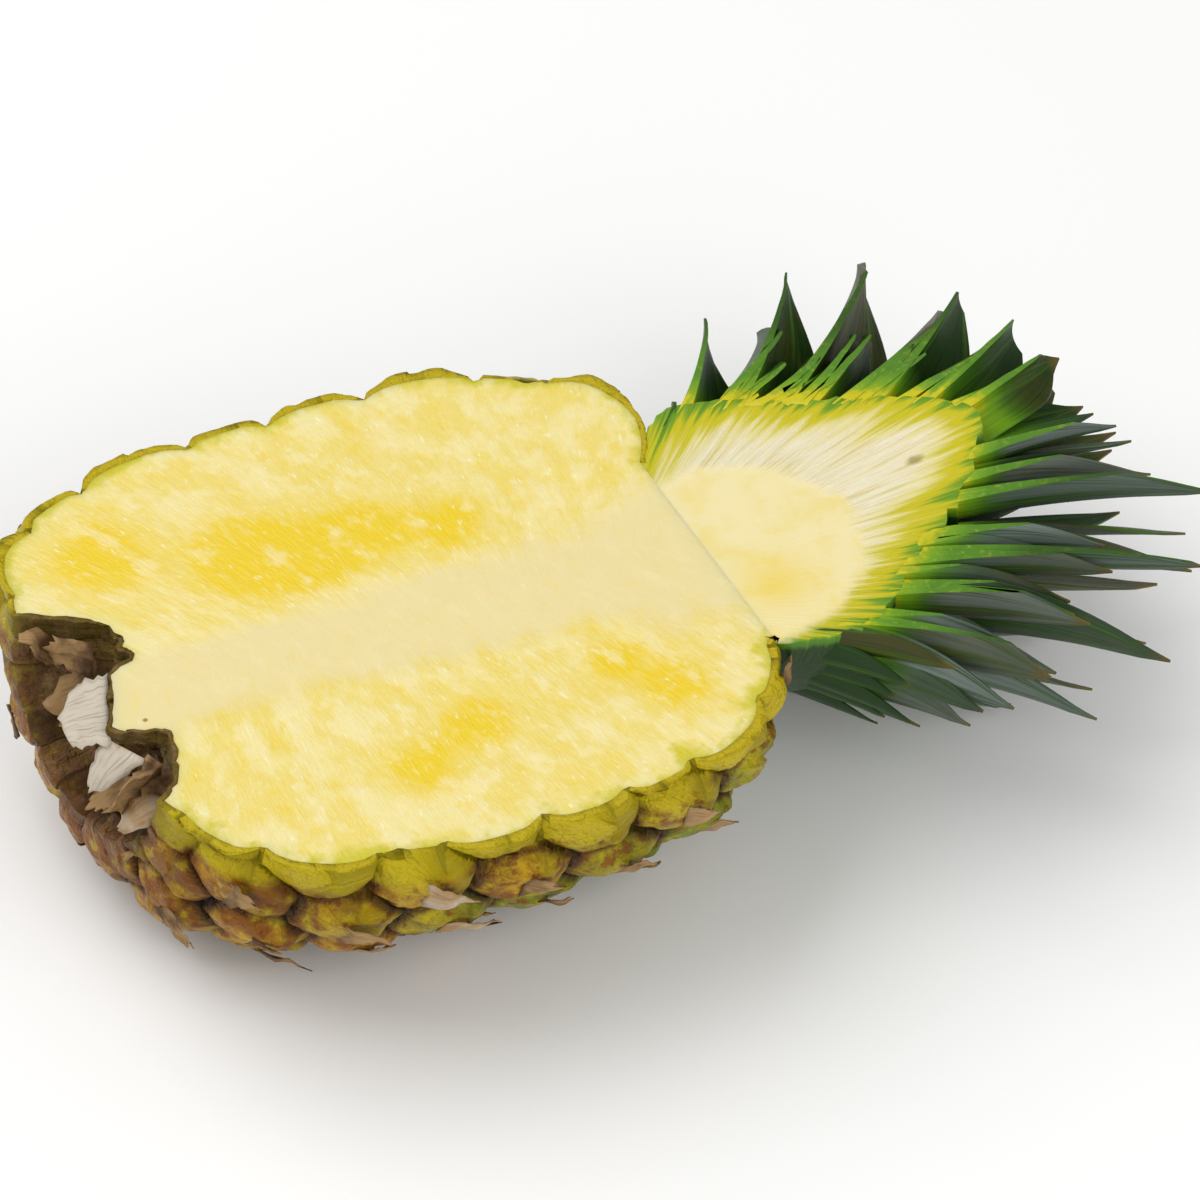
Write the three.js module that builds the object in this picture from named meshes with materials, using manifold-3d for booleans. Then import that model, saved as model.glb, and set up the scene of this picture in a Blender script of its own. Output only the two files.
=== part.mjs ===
// Half a pineapple, cut lengthwise through fruit and crown, lying on its rind with the cut face up.
// Millimetres, +Z up, crown towards +X. The origin is on the spot that it rests on, under its weight.
import * as THREE from "three";
import { mergeVertices } from "three/addons/utils/BufferGeometryUtils.js";
import Module from "manifold-3d";

const { clamp, degToRad, lerp } = THREE.MathUtils;
const GOLDEN_ANGLE = Math.PI * (3 - Math.sqrt(5));

// Fruit, measured to the grooves between the eyes
const FRUIT_LENGTH = 130;
const FRUIT_WIDTH = 118;
const FRUIT_DEPTH = 50.5; // from the cut face down
const FRUIT_SQUARENESS = 3.1; // exponent of the barrel's outline, where 2 would be an ellipse
const DEPTH_TAPER = 0.06; // share by which the half is deeper at the stalk than at the crown
const BASE_SLANT = 0.17; // the stalk end juts out this much per millimetre to the far side
const BASE_DROOP = 0.16; // and this much per millimetre below the cut face
const CUT_HEIGHT = 51; // cut face above the surface, which shaves the lowest eyes flat
const REST_X = 9; // from the fruit's middle to the point under the weight

// Eyes, on the spiral in which each one is a golden angle round from the last
const EYE_STEP = 1; // along the rind from each eye to the next on the spiral
const EYE_LEFT = 8; // places along the spiral to an eye's upper neighbour on one side
const EYE_RIGHT = 13; // and on the other side
const EYE_RISE = 3;
const EYE_STEEPNESS = 3.5; // how abruptly an eye's edge rises from the groove
const EYE_SPLIT = 6; // mesh steps from one eye to the next
const EYE_END_RADIUS = 24; // where the eyes end, at the stalk and under the crown
const BRACT_RISE = 1.8; // the dry point in the middle of an eye
const BRACT_LEAN = 4.5; // how far that point leans towards the crown
const BRACT_SHARE = 0.3; // of the way out to the eye's edge

// Stalk end: a hollow round the broken stalk, with dry bracts standing in it
const STALK_RADIUS = 10;
const STALK_BREAK = 4; // how far in from the end the stalk is broken off
const HOLLOW_RADIUS = 29;
const HOLLOW_DEPTH = 13;
const HOLLOW_SIDES = 24;
const BASE_BRACTS = 6;
const BASE_BRACT_LENGTH = 11;
const BASE_BRACT_ROOT = 6; // sunk in the floor of the hollow
const BASE_BRACT_WIDTH = 15;
const BASE_BRACT_THICKNESS = 1.2;
const BASE_BRACT_FLARE = [degToRad(22), degToRad(40)]; // by turns
const BASE_BRACT_STAGGER = [-1, 3]; // in and out of the middle of the hollow, by turns

// Crown, on an axis of its own in the cut face
const CROWN_ROOT = new THREE.Vector3(62.7, -6, 0); // from the fruit's middle
const CROWN_LEAN = degToRad(11.5);
const CROWN_LENGTH = 58; // of the stem with the packed leaf roots round it
const CROWN_SIDES = 36;
const GAP = 0.35; // between the crown's pieces

// Leaves
const CROWN_LEAVES = 90; // on the whole crown, of which the half keeps about half
const LEAF_PHASE = degToRad(28); // where round the stem the lowest leaf is
const LEAF_FIRST = 0.13; // share of the stem's outline below the lowest leaf
const LEAF_LAST = 0.91; // and below the highest
const LEAF_CROWDING = 0.1; // how much closer than even the leaves stand at the foot of the stem
const LEAF_LONGEST = 51;
const LEAF_SHORTEST = 0.55; // share of that which the lowest and highest have
const LEAF_WIDTH = 25; // of the lowest
const LEAF_NARROWING = 0.63; // share of the width that is lost up the stem
const LEAF_VARIATION = 0.1; // share by which lengths and widths differ at random
const LEAF_TAPER = 2.5; // exponent of the blade's outline, where 1 is a plain triangle
const LEAF_POINT = 0.04; // share of the width left at the tip
const LEAF_THICKNESS = 1.2; // at the root
const LEAF_EDGE = 0.7; // thickness at the tip and edges
const LEAF_GUTTER = 0.6; // how far the edges curl in
const LEAF_ROWS = 6;
const LEAF_COLUMNS = 4;
const LEAF_SCRAP = 120; // cubic millimetres, below which a cut leaf is left out
const BEND_LENGTH = 70; // over which a leaf bends from its root angle to its tip angle
const ROOT_ANGLE = { low: degToRad(44), high: degToRad(8) }; // from the crown's axis
const SIDE_ANGLE = { low: degToRad(78), high: degToRad(28) }; // tips that stand out sideways
const UNDER_ANGLE = { low: degToRad(2), high: degToRad(0) }; // tips that the surface presses up
const SHOULDER_PRESS = degToRad(6); // low leaves pushed up where the crown leans over the fruit

const wasm = await Module();
wasm.setup();

function toSolid(geometry) {
  const bare = geometry.clone();
  bare.deleteAttribute("normal");
  bare.deleteAttribute("uv");
  const merged = mergeVertices(bare, 1e-3);
  return new wasm.Manifold(
    new wasm.Mesh({
      numProp: 3,
      vertProperties: merged.attributes.position.array,
      triVerts: new Uint32Array(merged.index.array),
    }),
  );
}

function toGeometry(solid) {
  const mesh = solid.getMesh();
  const geometry = new THREE.BufferGeometry();
  geometry.setAttribute("position", new THREE.BufferAttribute(mesh.vertProperties, 3));
  geometry.setIndex(new THREE.BufferAttribute(mesh.triVerts, 1));
  geometry.computeVertexNormals();
  return geometry;
}

function fromTriangles(triangles) {
  return new THREE.BufferGeometry().setFromPoints(triangles.flat());
}

// A box that takes away everything above a level plane, or everything below it.
function levelCutter(height, side) {
  const size = 600;
  return toSolid(new THREE.BoxGeometry(size, size, size).translate(0, 0, height + (side * size) / 2));
}

const aboveCut = levelCutter(0, 1);
const belowRest = levelCutter(-CUT_HEIGHT, -1);

function seededRandom(seed) {
  let state = seed;
  return () => {
    state = (state * 1664525 + 1013904223) % 4294967296;
    return state / 4294967296;
  };
}

// A lathe turned to spin about X: the profile holds (x, radius) pairs.
function turned(profile, sides) {
  const points = profile.map(([x, radius]) => new THREE.Vector2(radius, x));
  return new THREE.LatheGeometry(points, sides).rotateZ(-Math.PI / 2);
}

// The barrel's outline as (x, radius) points with their distances from the stalk end.
function barrelOutline() {
  const steps = 600;
  const power = 2 / FRUIT_SQUARENESS;
  const points = [];
  const distances = [0];
  for (let i = 0; i <= steps; i++) {
    const angle = (Math.PI * i) / steps;
    const along = Math.sign(Math.cos(angle)) * Math.abs(Math.cos(angle)) ** power;
    const radius = i < steps ? Math.sin(angle) ** power : 0;
    points.push(new THREE.Vector2((-FRUIT_LENGTH / 2) * along, (FRUIT_WIDTH / 2) * radius));
    if (i > 0) distances.push(distances[i - 1] + points[i].distanceTo(points[i - 1]));
  }
  return { points, distances, length: distances[steps] };
}

const barrel = barrelOutline();

function barrelAt(distance) {
  const { points, distances } = barrel;
  let i = 1;
  while (i < points.length - 1 && distances[i] < distance) i++;
  const share = (distance - distances[i - 1]) / (distances[i] - distances[i - 1]);
  const point = points[i - 1].clone().lerp(points[i], share);
  const tangent = points[i].clone().sub(points[i - 1]).normalize();
  return { point, tangent, normal: new THREE.Vector2(-tangent.y, tangent.x) };
}

// A point of the rind: an angle round the axis, a distance along the outline, a rise above the
// groove and a lean towards the crown.
function rindPoint(angle, distance, rise, lean) {
  const { point, tangent, normal } = barrelAt(distance);
  const profile = point.clone().addScaledVector(normal, rise).addScaledVector(tangent, lean);
  const along = profile.x / FRUIT_LENGTH;
  const flatness = (FRUIT_DEPTH / (FRUIT_WIDTH / 2)) * (1 - DEPTH_TAPER * along);
  const y = profile.y * Math.cos(angle);
  const z = profile.y * Math.sin(angle) * flatness;
  const jut = (BASE_SLANT * y - BASE_DROOP * z) * (0.5 - along);
  return new THREE.Vector3(profile.x - jut, y, z);
}

// The whole rind as one closed surface. Triangles between neighbouring eyes cover the fruit, and
// each is split finely and raised by how near it is to an eye.
function rindGeometry() {
  const ahead = EYE_LEFT + EYE_RIGHT;
  const first = barrel.distances[barrel.points.findIndex((p) => p.y >= EYE_END_RADIUS)];
  const last = barrel.distances[barrel.points.findLastIndex((p) => p.y >= EYE_END_RADIUS)];
  const count = Math.floor((last - first) / EYE_STEP);
  const underWeight = Math.round((barrel.length / 2 + REST_X - first) / EYE_STEP);
  const turn = (places) => {
    const angle = places * GOLDEN_ANGLE;
    return angle - 2 * Math.PI * Math.round(angle / (2 * Math.PI));
  };
  const start = -Math.PI / 2 - turn(underWeight); // so that an eye is right under the weight
  const corner = (k, places) => ({ place: k + places, angle: start + k * GOLDEN_ANGLE + turn(places) });

  const eyePoint = (corners, weights) => {
    const angle = corners.reduce((sum, c, i) => sum + c.angle * weights[i], 0);
    const place = corners.reduce((sum, c, i) => sum + c.place * weights[i], 0);
    const [most, second] = [...weights].sort((a, b) => b - a);
    const nearness = most - second; // 0 in the groove, 1 in the middle of the eye
    const bract = Math.max(0, (nearness - 1 + BRACT_SHARE) / BRACT_SHARE);
    const rise = EYE_RISE * (1 - (1 - nearness) ** EYE_STEEPNESS) + BRACT_RISE * bract;
    const fade = clamp(Math.min(place, count - 1 - place) / ahead, 0, 1);
    return rindPoint(angle, first + place * EYE_STEP, rise * fade, BRACT_LEAN * bract * fade);
  };

  const triangles = [];
  const splitTriangle = (corners) => {
    const n = EYE_SPLIT;
    const at = (i, j) => eyePoint(corners, [(n - i - j) / n, i / n, j / n]);
    for (let i = 0; i < n; i++) {
      for (let j = 0; j < n - i; j++) {
        triangles.push([at(i, j), at(i + 1, j), at(i, j + 1)]);
        if (i + j < n - 1) triangles.push([at(i + 1, j), at(i + 1, j + 1), at(i, j + 1)]);
      }
    }
  };
  for (let k = 0; k + ahead < count; k++) {
    splitTriangle([corner(k, 0), corner(k, ahead), corner(k, EYE_RIGHT)]);
    splitTriangle([corner(k, 0), corner(k, EYE_LEFT), corner(k, ahead)]);
  }

  // The last eyes at either end make a ring, and a fan to the axis closes it.
  const closeEnd = (placeOf, poleDistance, sign) => {
    const pole = rindPoint(0, poleDistance, 0, 0).setY(0);
    let k = 0;
    do {
      const step = k < EYE_RIGHT ? EYE_LEFT : -EYE_RIGHT;
      const ends = [corner(placeOf(k), 0), corner(placeOf(k), sign * step)];
      for (let i = 0; i < EYE_SPLIT; i++) {
        const from = i / EYE_SPLIT;
        const to = (i + 1) / EYE_SPLIT;
        triangles.push([pole, eyePoint(ends, [1 - to, to]), eyePoint(ends, [1 - from, from])]);
      }
      k += step;
    } while (k !== 0);
  };
  closeEnd((k) => k, 0, 1);
  closeEnd((k) => count - 1 - k, barrel.length, -1);
  return fromTriangles(triangles);
}

// The space that the hollow and the broken stalk leave at the stalk end.
function stalkHollow() {
  const base = -FRUIT_LENGTH / 2;
  const outside = base - 20;
  return turned(
    [
      [outside, 0],
      [outside, HOLLOW_RADIUS + 6],
      [base, HOLLOW_RADIUS],
      [base + HOLLOW_DEPTH * 0.8, HOLLOW_RADIUS - 8],
      [base + HOLLOW_DEPTH, STALK_RADIUS + 5],
      [base + HOLLOW_DEPTH * 0.7, STALK_RADIUS],
      [base + STALK_BREAK, STALK_RADIUS - 2],
      [base + STALK_BREAK, 0],
    ],
    HOLLOW_SIDES,
  );
}

// A dry bract at the stalk end: a thin torn flap, rooted in the floor of the hollow.
function baseBract(index) {
  const half = BASE_BRACT_WIDTH / 2;
  const long = BASE_BRACT_LENGTH;
  const outline = new THREE.Shape();
  outline.moveTo(-half * 0.8, -BASE_BRACT_ROOT);
  outline.lineTo(half * 0.8, -BASE_BRACT_ROOT);
  outline.quadraticCurveTo(half * 1.2, long * 0.5, half * 0.2, long);
  outline.lineTo(-half * 0.5, long * 0.85);
  outline.quadraticCurveTo(-half * 1.2, long * 0.4, -half * 0.8, -BASE_BRACT_ROOT);
  const depth = BASE_BRACT_THICKNESS;
  const flap = new THREE.ExtrudeGeometry(outline, { depth, bevelEnabled: false, curveSegments: 3 });
  const ring = new THREE.Group();
  ring.rotation.x = Math.PI * (1 + (index + 0.5) / BASE_BRACTS); // below the cut face
  const root = new THREE.Group();
  const radius = (STALK_RADIUS + HOLLOW_RADIUS) / 2 + BASE_BRACT_STAGGER[index % 2];
  root.position.set(-FRUIT_LENGTH / 2 + HOLLOW_DEPTH * 0.8, radius, 0);
  root.rotation.set(0, 0, Math.PI / 2 - BASE_BRACT_FLARE[index % 2]);
  ring.add(root);
  const blade = new THREE.Mesh(flap);
  blade.rotation.y = Math.PI / 2;
  root.add(blade);
  ring.updateMatrixWorld(true);
  return flap.applyMatrix4(blade.matrixWorld);
}

// The outline of the crown's stem with the leaf roots packed round it, as (distance, radius).
const stemOutline = new THREE.SplineCurve(
  [
    [0, 26],
    [9, 29],
    [24, 26.5],
    [40, 17],
    [52, 8],
    [CROWN_LENGTH, 1.5],
  ].map(([x, radius]) => new THREE.Vector2(x, radius)),
);

function stemGeometry(swell) {
  const skin = stemOutline.getPoints(14).map((p) => [p.x, p.y + swell]);
  const foot = [-swell, skin[0][1]];
  return turned([[-swell, 0], foot, ...skin, [CROWN_LENGTH + swell, 0]], CROWN_SIDES);
}

// Where a leaf's surface runs, from its height on the stem (0 lowest, 1 highest), for any angle round
// the crown. Leaves that start higher lie inside those that start lower, so they never cross.
function leafCourse(height, azimuth) {
  const place = lerp(LEAF_FIRST, LEAF_LAST, height);
  const tangent = stemOutline.getTangent(place);
  const outward = new THREE.Vector2(-tangent.y, tangent.x);
  const root = stemOutline.getPoint(place).addScaledVector(outward, GAP + LEAF_THICKNESS / 2);
  const pressed = SHOULDER_PRESS * Math.max(0, Math.cos(azimuth)) * (1 - height) ** 2;
  const down = Math.max(0, -Math.sin(azimuth)) ** 2;
  const rootAngle = lerp(ROOT_ANGLE.low, ROOT_ANGLE.high, height) - pressed;
  const sideAngle = lerp(SIDE_ANGLE.low, SIDE_ANGLE.high, height) - pressed;
  const tipAngle = lerp(sideAngle, lerp(UNDER_ANGLE.low, UNDER_ANGLE.high, height), down);
  const bend = (tipAngle - rootAngle) / BEND_LENGTH + 1e-6; // kept off zero, which would not divide
  return (t) => ({
    along: root.x + (Math.sin(rootAngle + bend * t) - Math.sin(rootAngle)) / bend,
    radius: root.y + (Math.cos(rootAngle) - Math.cos(rootAngle + bend * t)) / bend,
  });
}

// A point of a leaf's middle surface: share of its length, and side from -1 to 1 across it.
function leafPoint(leaf, share, side) {
  const t = share * leaf.length;
  const narrowest = 6; // radius inside which the blade stops wrapping round the axis more tightly
  const wrap = Math.max(narrowest, leafCourse(leaf.height, leaf.azimuth)(t).radius);
  const halfWidth = (leaf.width / 2) * Math.max(LEAF_POINT, 1 - Math.abs(share) ** LEAF_TAPER);
  const azimuth = leaf.azimuth + (side * halfWidth) / wrap;
  const { along, radius } = leafCourse(leaf.height, azimuth)(t);
  const curl = LEAF_GUTTER * side * side * Math.sin(Math.PI * Math.min(1, share + 0.1)) * Math.SQRT1_2;
  const inner = radius - curl;
  return new THREE.Vector3(along + curl, inner * Math.cos(azimuth), inner * Math.sin(azimuth));
}

// A blade with the same mesh on both faces, thick at the midrib and thin at its tip and edges.
function leafGeometry(leaf) {
  const probe = 0.01;
  const vertex = (row, column, face) => {
    const share = row / LEAF_ROWS;
    const side = (2 * column) / LEAF_COLUMNS - 1;
    const lengthwise = leafPoint(leaf, share + probe, side).sub(leafPoint(leaf, share - probe, side));
    const across = leafPoint(leaf, share, side + probe).sub(leafPoint(leaf, share, side - probe));
    const thickness = lerp(LEAF_EDGE, LEAF_THICKNESS, (1 - share) * (1 - side * side));
    const normal = lengthwise.cross(across).normalize();
    return leafPoint(leaf, share, side).addScaledVector(normal, (face * thickness) / 2);
  };
  const triangles = [];
  const quad = (a, b, c, d) => triangles.push([a, b, c], [a, c, d]);
  const tip = LEAF_ROWS;
  const edge = LEAF_COLUMNS;
  for (let r = 0; r < tip; r++) {
    const s = r + 1;
    for (let c = 0; c < edge; c++) {
      quad(vertex(r, c, 1), vertex(s, c, 1), vertex(s, c + 1, 1), vertex(r, c + 1, 1));
      quad(vertex(r, c, -1), vertex(r, c + 1, -1), vertex(s, c + 1, -1), vertex(s, c, -1));
    }
    quad(vertex(r, 0, -1), vertex(s, 0, -1), vertex(s, 0, 1), vertex(r, 0, 1));
    quad(vertex(r, edge, 1), vertex(s, edge, 1), vertex(s, edge, -1), vertex(r, edge, -1));
  }
  for (let c = 0; c < edge; c++) {
    const d = c + 1;
    quad(vertex(0, c, -1), vertex(0, c, 1), vertex(0, d, 1), vertex(0, d, -1));
    quad(vertex(tip, c, 1), vertex(tip, c, -1), vertex(tip, d, -1), vertex(tip, d, 1));
  }
  return fromTriangles(triangles);
}

// Every leaf of the crown on its own spiral, cut at the cut face, without those left above it.
function crownLeaves() {
  const random = seededRandom(7);
  const varied = () => 1 + LEAF_VARIATION * (2 * random() - 1);
  const kept = [];
  for (let i = 0; i < CROWN_LEAVES; i++) {
    const order = (i + 0.5) / CROWN_LEAVES;
    const height = order * (1 - LEAF_CROWDING * (1 - order));
    const leaf = {
      height,
      azimuth: LEAF_PHASE + i * GOLDEN_ANGLE,
      length: LEAF_LONGEST * lerp(LEAF_SHORTEST, 1, Math.sin(Math.PI * height ** 0.8)) * varied(),
      width: LEAF_WIDTH * (1 - LEAF_NARROWING * height) * varied(),
    };
    const pieces = toSolid(leafGeometry(leaf)).subtract(aboveCut).decompose();
    const largest = pieces.sort((a, b) => b.volume() - a.volume())[0];
    if (largest && largest.volume() > LEAF_SCRAP) kept.push(toGeometry(largest));
  }
  return kept;
}

const fleshMaterial = new THREE.MeshStandardMaterial({ color: 0xe6c84a, roughness: 0.45, metalness: 0 });
const stemMaterial = new THREE.MeshStandardMaterial({ color: 0xefe6b8, roughness: 0.5, metalness: 0 });
const leafMaterial = new THREE.MeshStandardMaterial({ color: 0x4a6b2a, roughness: 0.5, metalness: 0 });

function addMesh(parent, name, geometry, material) {
  const mesh = new THREE.Mesh(geometry, material);
  mesh.name = name;
  parent.add(mesh);
}

const pineapple = new THREE.Group();
pineapple.position.set(-REST_X, 0, CUT_HEIGHT);

const crown = new THREE.Group();
crown.position.copy(CROWN_ROOT);
crown.rotation.z = CROWN_LEAN;
crown.updateMatrix();
pineapple.add(crown);

// The fruit: eyes and rind, hollowed at the stalk, with a socket for the crown, then cut in half.
let fruit = toSolid(rindGeometry()).subtract(toSolid(stalkHollow()));
for (let i = 0; i < BASE_BRACTS; i++) fruit = fruit.add(toSolid(baseBract(i)));
fruit = fruit.subtract(toSolid(stemGeometry(GAP).applyMatrix4(crown.matrix)));
fruit = fruit.subtract(aboveCut).subtract(belowRest);
addMesh(pineapple, "fruit_half", toGeometry(fruit), fleshMaterial);

addMesh(crown, "crown_stem", toGeometry(toSolid(stemGeometry(0)).subtract(aboveCut)), stemMaterial);

crownLeaves().forEach((geometry, i) => {
  addMesh(crown, `leaf_${String(i + 1).padStart(2, "0")}`, geometry, leafMaterial);
});

export default pineapple;
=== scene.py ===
# Half a pineapple, cut lengthwise through fruit and crown, in a plain studio.
import math
from functools import partial
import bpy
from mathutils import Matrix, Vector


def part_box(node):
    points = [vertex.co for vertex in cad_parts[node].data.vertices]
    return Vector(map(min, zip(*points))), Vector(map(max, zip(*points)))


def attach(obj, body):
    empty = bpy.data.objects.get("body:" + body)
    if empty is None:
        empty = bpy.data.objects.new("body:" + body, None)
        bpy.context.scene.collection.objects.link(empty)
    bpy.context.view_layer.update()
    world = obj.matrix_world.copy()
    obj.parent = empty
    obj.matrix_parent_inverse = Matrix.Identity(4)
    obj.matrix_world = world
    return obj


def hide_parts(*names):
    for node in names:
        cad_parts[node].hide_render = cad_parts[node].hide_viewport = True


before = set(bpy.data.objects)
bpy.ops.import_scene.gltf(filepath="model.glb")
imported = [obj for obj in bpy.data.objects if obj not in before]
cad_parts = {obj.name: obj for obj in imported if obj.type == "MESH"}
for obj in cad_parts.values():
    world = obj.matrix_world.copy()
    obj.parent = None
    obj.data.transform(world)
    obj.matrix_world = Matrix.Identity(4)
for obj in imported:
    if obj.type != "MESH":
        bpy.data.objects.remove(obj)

from types import SimpleNamespace

import bpy
import numpy as np
from bpy.props import FloatProperty, FloatVectorProperty, IntProperty, PointerProperty
from mathutils import Matrix, Vector, noise

bl_info = {
    "name": "Half Pineapple",
    "version": (1, 0, 0),
    "blender": (4, 5, 0),
    "location": "View3D > Sidebar > Pineapple",
    "description": "Builds a pineapple half with its cut face, rind, stalk end and crown",
    "category": "Add Mesh",
}

MM = 0.001
GOLDEN_ANGLE = math.pi * (3 - math.sqrt(5))
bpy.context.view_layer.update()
CUT_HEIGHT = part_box("fruit_half")[1].z
SPECK = (-62.7 * MM, -7.4 * MM, CUT_HEIGHT)  # a brown speck on the core
NOTCH_SLIMNESS = 0.4
NOTCH = (-1.0 * MM, 73.2 * MM * NOTCH_SLIMNESS, 0)  # a torn root in the crown's heart, on its lanes
EYE_LEFT = 8  # places along the spiral to an eye's upper neighbour on one side
EYE_RIGHT = 13  # and on the other side


def linear(code):
    """A colour written as sRGB hex, as linear RGBA."""
    channels = [int(code[i : i + 2], 16) / 255 for i in (0, 2, 4)]
    return [c / 12.92 if c <= 0.04045 else ((c + 0.055) / 1.055) ** 2.4 for c in channels] + [1.0]


def length(name, millimetres, description):
    """A length that a user may change."""
    default = millimetres * MM
    return FloatProperty(name=name, description=description, default=default, unit="LENGTH", precision=4)


def share(name, value, description):
    """A plain number that a user may change."""
    return FloatProperty(name=name, description=description, default=value)


def angle(name, degrees, description):
    """An angle that a user may change."""
    return FloatProperty(name=name, description=description, default=math.radians(degrees), subtype="ANGLE")


def colour(name, code, description):
    """A colour that a user may change."""
    return FloatVectorProperty(
        name=name, description=description, default=linear(code), size=4, min=0, max=1, subtype="COLOR"
    )


class FruitSettings(bpy.types.PropertyGroup):
    """The fruit's sizes, measured to the grooves between its eyes"""

    length: length("Length", 130, "From the stalk end to the crown")
    width: length("Width", 118, "Across the cut face")
    depth: length("Depth", 50.5, "From the cut face down")
    squareness: share("Squareness", 3.1, "Exponent of the barrel's outline, where 2 is an ellipse")
    depth_taper: share("Depth taper", 0.06, "Share by which the stalk end is deeper than the crown end")
    base_slant: share("Base slant", 0.17, "How far the stalk end juts out to the far side")
    base_droop: share("Base droop", 0.16, "How far the stalk end juts out below the cut face")
    rest_x: length("Rest point", 9, "From the fruit's middle to the point under its weight")
    eye_step: length("Eye step", 1, "Along the rind from each eye to the next on the spiral")
    eye_rise: length("Eye rise", 3, "From the groove to the top of an eye")
    eye_steepness: share("Eye steepness", 3.5, "How abruptly an eye's edge rises from the groove")
    eye_end_radius: length("Eye end radius", 24, "Where the eyes end, at the stalk and under the crown")
    hollow_radius: length("Hollow radius", 27.5, "Lip of the hollow round the stalk")
    skin: length("Skin", 1.2, "Thickness of the rind's skin")
    cell: length("Cell", 1.7, "Mesh step on the cut face")


class CrownSettings(bpy.types.PropertyGroup):
    """The crown's sizes, on its own axis in the cut face"""

    root_x: length("Root along", 62.7, "From the fruit's middle to the crown's root")
    root_y: length("Root across", -6, "From the fruit's axis to the crown's root")
    lean: angle("Lean", 11.5, "Of the crown's axis in the cut face")
    gap: length("Gap", 0.35, "From the stem to the leaves")
    leaves: IntProperty(name="Leaves", description="On the whole crown before the cut", default=90)
    phase: angle("Phase", 28, "Where round the stem the lowest leaf is")
    first: share("First leaf", 0.13, "Share of the stem's outline below the lowest leaf")
    last: share("Last leaf", 0.91, "Share of the stem's outline below the highest leaf")
    longest: length("Longest leaf", 51, "From root to tip")
    shortest: share("Shortest leaf", 0.55, "Share of that which the lowest and highest leaves have")
    width: length("Leaf width", 25, "Of the lowest leaf")
    narrowing: share("Narrowing", 0.63, "Share of the width that is lost up the stem")
    variation: share("Variation", 0.1, "Share by which lengths and widths differ at random")
    taper: share("Taper", 2.5, "Exponent of the blade's outline, where 1 is a plain triangle")
    thickness: length("Leaf thickness", 3.2, "At the fleshy root")
    edge: length("Leaf edge", 0.45, "Thickness at the tip and edges")
    gutter: length("Leaf gutter", 2.0, "How far the edges curl in")
    far_gutter: length("Far leaf gutter", 11, "The same for the leaves that stand up behind the fruit")
    fullness: share("Fullness", 0.88, "Width of a blade against its solid's")
    far_fullness: share("Far fullness", 1.75, "The same for the leaves that stand up behind the fruit")
    bend_length: length("Bend length", 70, "Over which a leaf bends from its root angle to its tip angle")


class FinishSettings(bpy.types.PropertyGroup):
    """The colours of the pineapple"""

    flesh: colour("Flesh", "EED978", "Flesh between core and rind")
    ripe: colour("Ripe flesh", "EECF26", "Golden patches")
    core: colour("Core", "ECDCA2", "Pale core along the axis")
    strand: colour("Strands", "F6ECBC", "Pale fibres")
    lime: colour("Lime rim", "CEC31A", "Flesh just under the rind")
    skin_edge: colour("Skin edge", "A8941A", "Cut edge of the rind's skin")
    rind: colour("Rind", "C8960A", "Olive-yellow eyes")
    rind_lime: colour("Lime rind", "C4AE0C", "Eyes just under the cut")
    rind_green: colour("Green rind", "7A8A12", "Greener eyes")
    rind_brown: colour("Brown rind", "854A08", "Browner eyes and dry scales")
    bruise: colour("Dark rind", "4A2F22", "Eyes that have turned dark")
    groove: colour("Groove", "2E1F0E", "Between the eyes")
    paper: colour("Dry bract", "A98658", "Papery bracts")
    paper_white: colour("Bleached bract", "CFC4B2", "Torn bracts round the stalk")
    paper_dark: colour("Stained bract", "4E3217", "Bracts stained at the root")
    heart: colour("Crown heart", "F3EACB", "Packed leaf roots")
    dome: colour("Stem end", "F2E4AC", "End of the core inside the crown")
    root: colour("Pale leaf root", "E8DC86", "Where the packed roots start to colour")
    yellow: colour("Leaf root", "CFC41C", "Where the leaves turn from white to green")
    leaf_cut: colour("Cut leaf", "74A01E", "Moist leaf where the knife went through")
    leaf: colour("Leaf", "223E14", "Blades, upper side")
    leaf_olive: colour("Olive leaf", "45451A", "Older blades")
    leaf_base: colour("Leaf base", "548420", "Blades near the stem")
    # Grey scurf under the blades; on the near leaves it also stands for a painted grey sheen.
    leaf_wax_and_sheen: colour("Leaf underside", "7E8A84", "Waxy scurf under the blades")
    leaf_dry: colour("Dry tip", "6B5A2A", "Withered tips")


class StageSettings(bpy.types.PropertyGroup):
    """The camera, which stands where the photograph's did"""

    target: FloatVectorProperty(
        name="Target", description="Where the camera looks", default=(0.02676, -0.01058, 0.051), unit="LENGTH"
    )
    azimuth: angle("Azimuth", -20.56, "Of the camera round the object")
    elevation: angle("Elevation", 45, "Of the camera above the horizon")
    roll: angle("Roll", -1.46, "Of the camera about its own axis")
    distance: length("Distance", 1484, "From the camera to the target")
    lens: share("Lens", 236.8, "Focal length in millimetres on a 36 mm sensor")


def smooth(low, high, value):
    """0 below low, 1 above high, and a soft step between."""
    step = np.clip((value - low) / (high - low), 0, 1)
    return step * step * (3 - 2 * step)


def mix(a, b, weight):
    """From a at weight 0 to b at weight 1."""
    return a + (b - a) * weight


def chance(number):
    """A repeatable draw from 0 to 1 for each whole number."""
    return np.mod(np.sin(np.asarray(number) * 12.9898 + 4.1) * 43758.5453, 1.0)


def unit(vectors):
    """Vectors with their length made 1."""
    return vectors / np.maximum(np.linalg.norm(vectors, axis=-1, keepdims=True), 1e-12)


def ripple(points, size, seed=0.0):
    """Soft noise from -1 to 1 at each point, with lumps of that size."""
    shift = Vector((seed, 2 * seed, 3 * seed))
    return np.array([noise.noise(Vector(p) / size + shift) for p in points])


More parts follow.
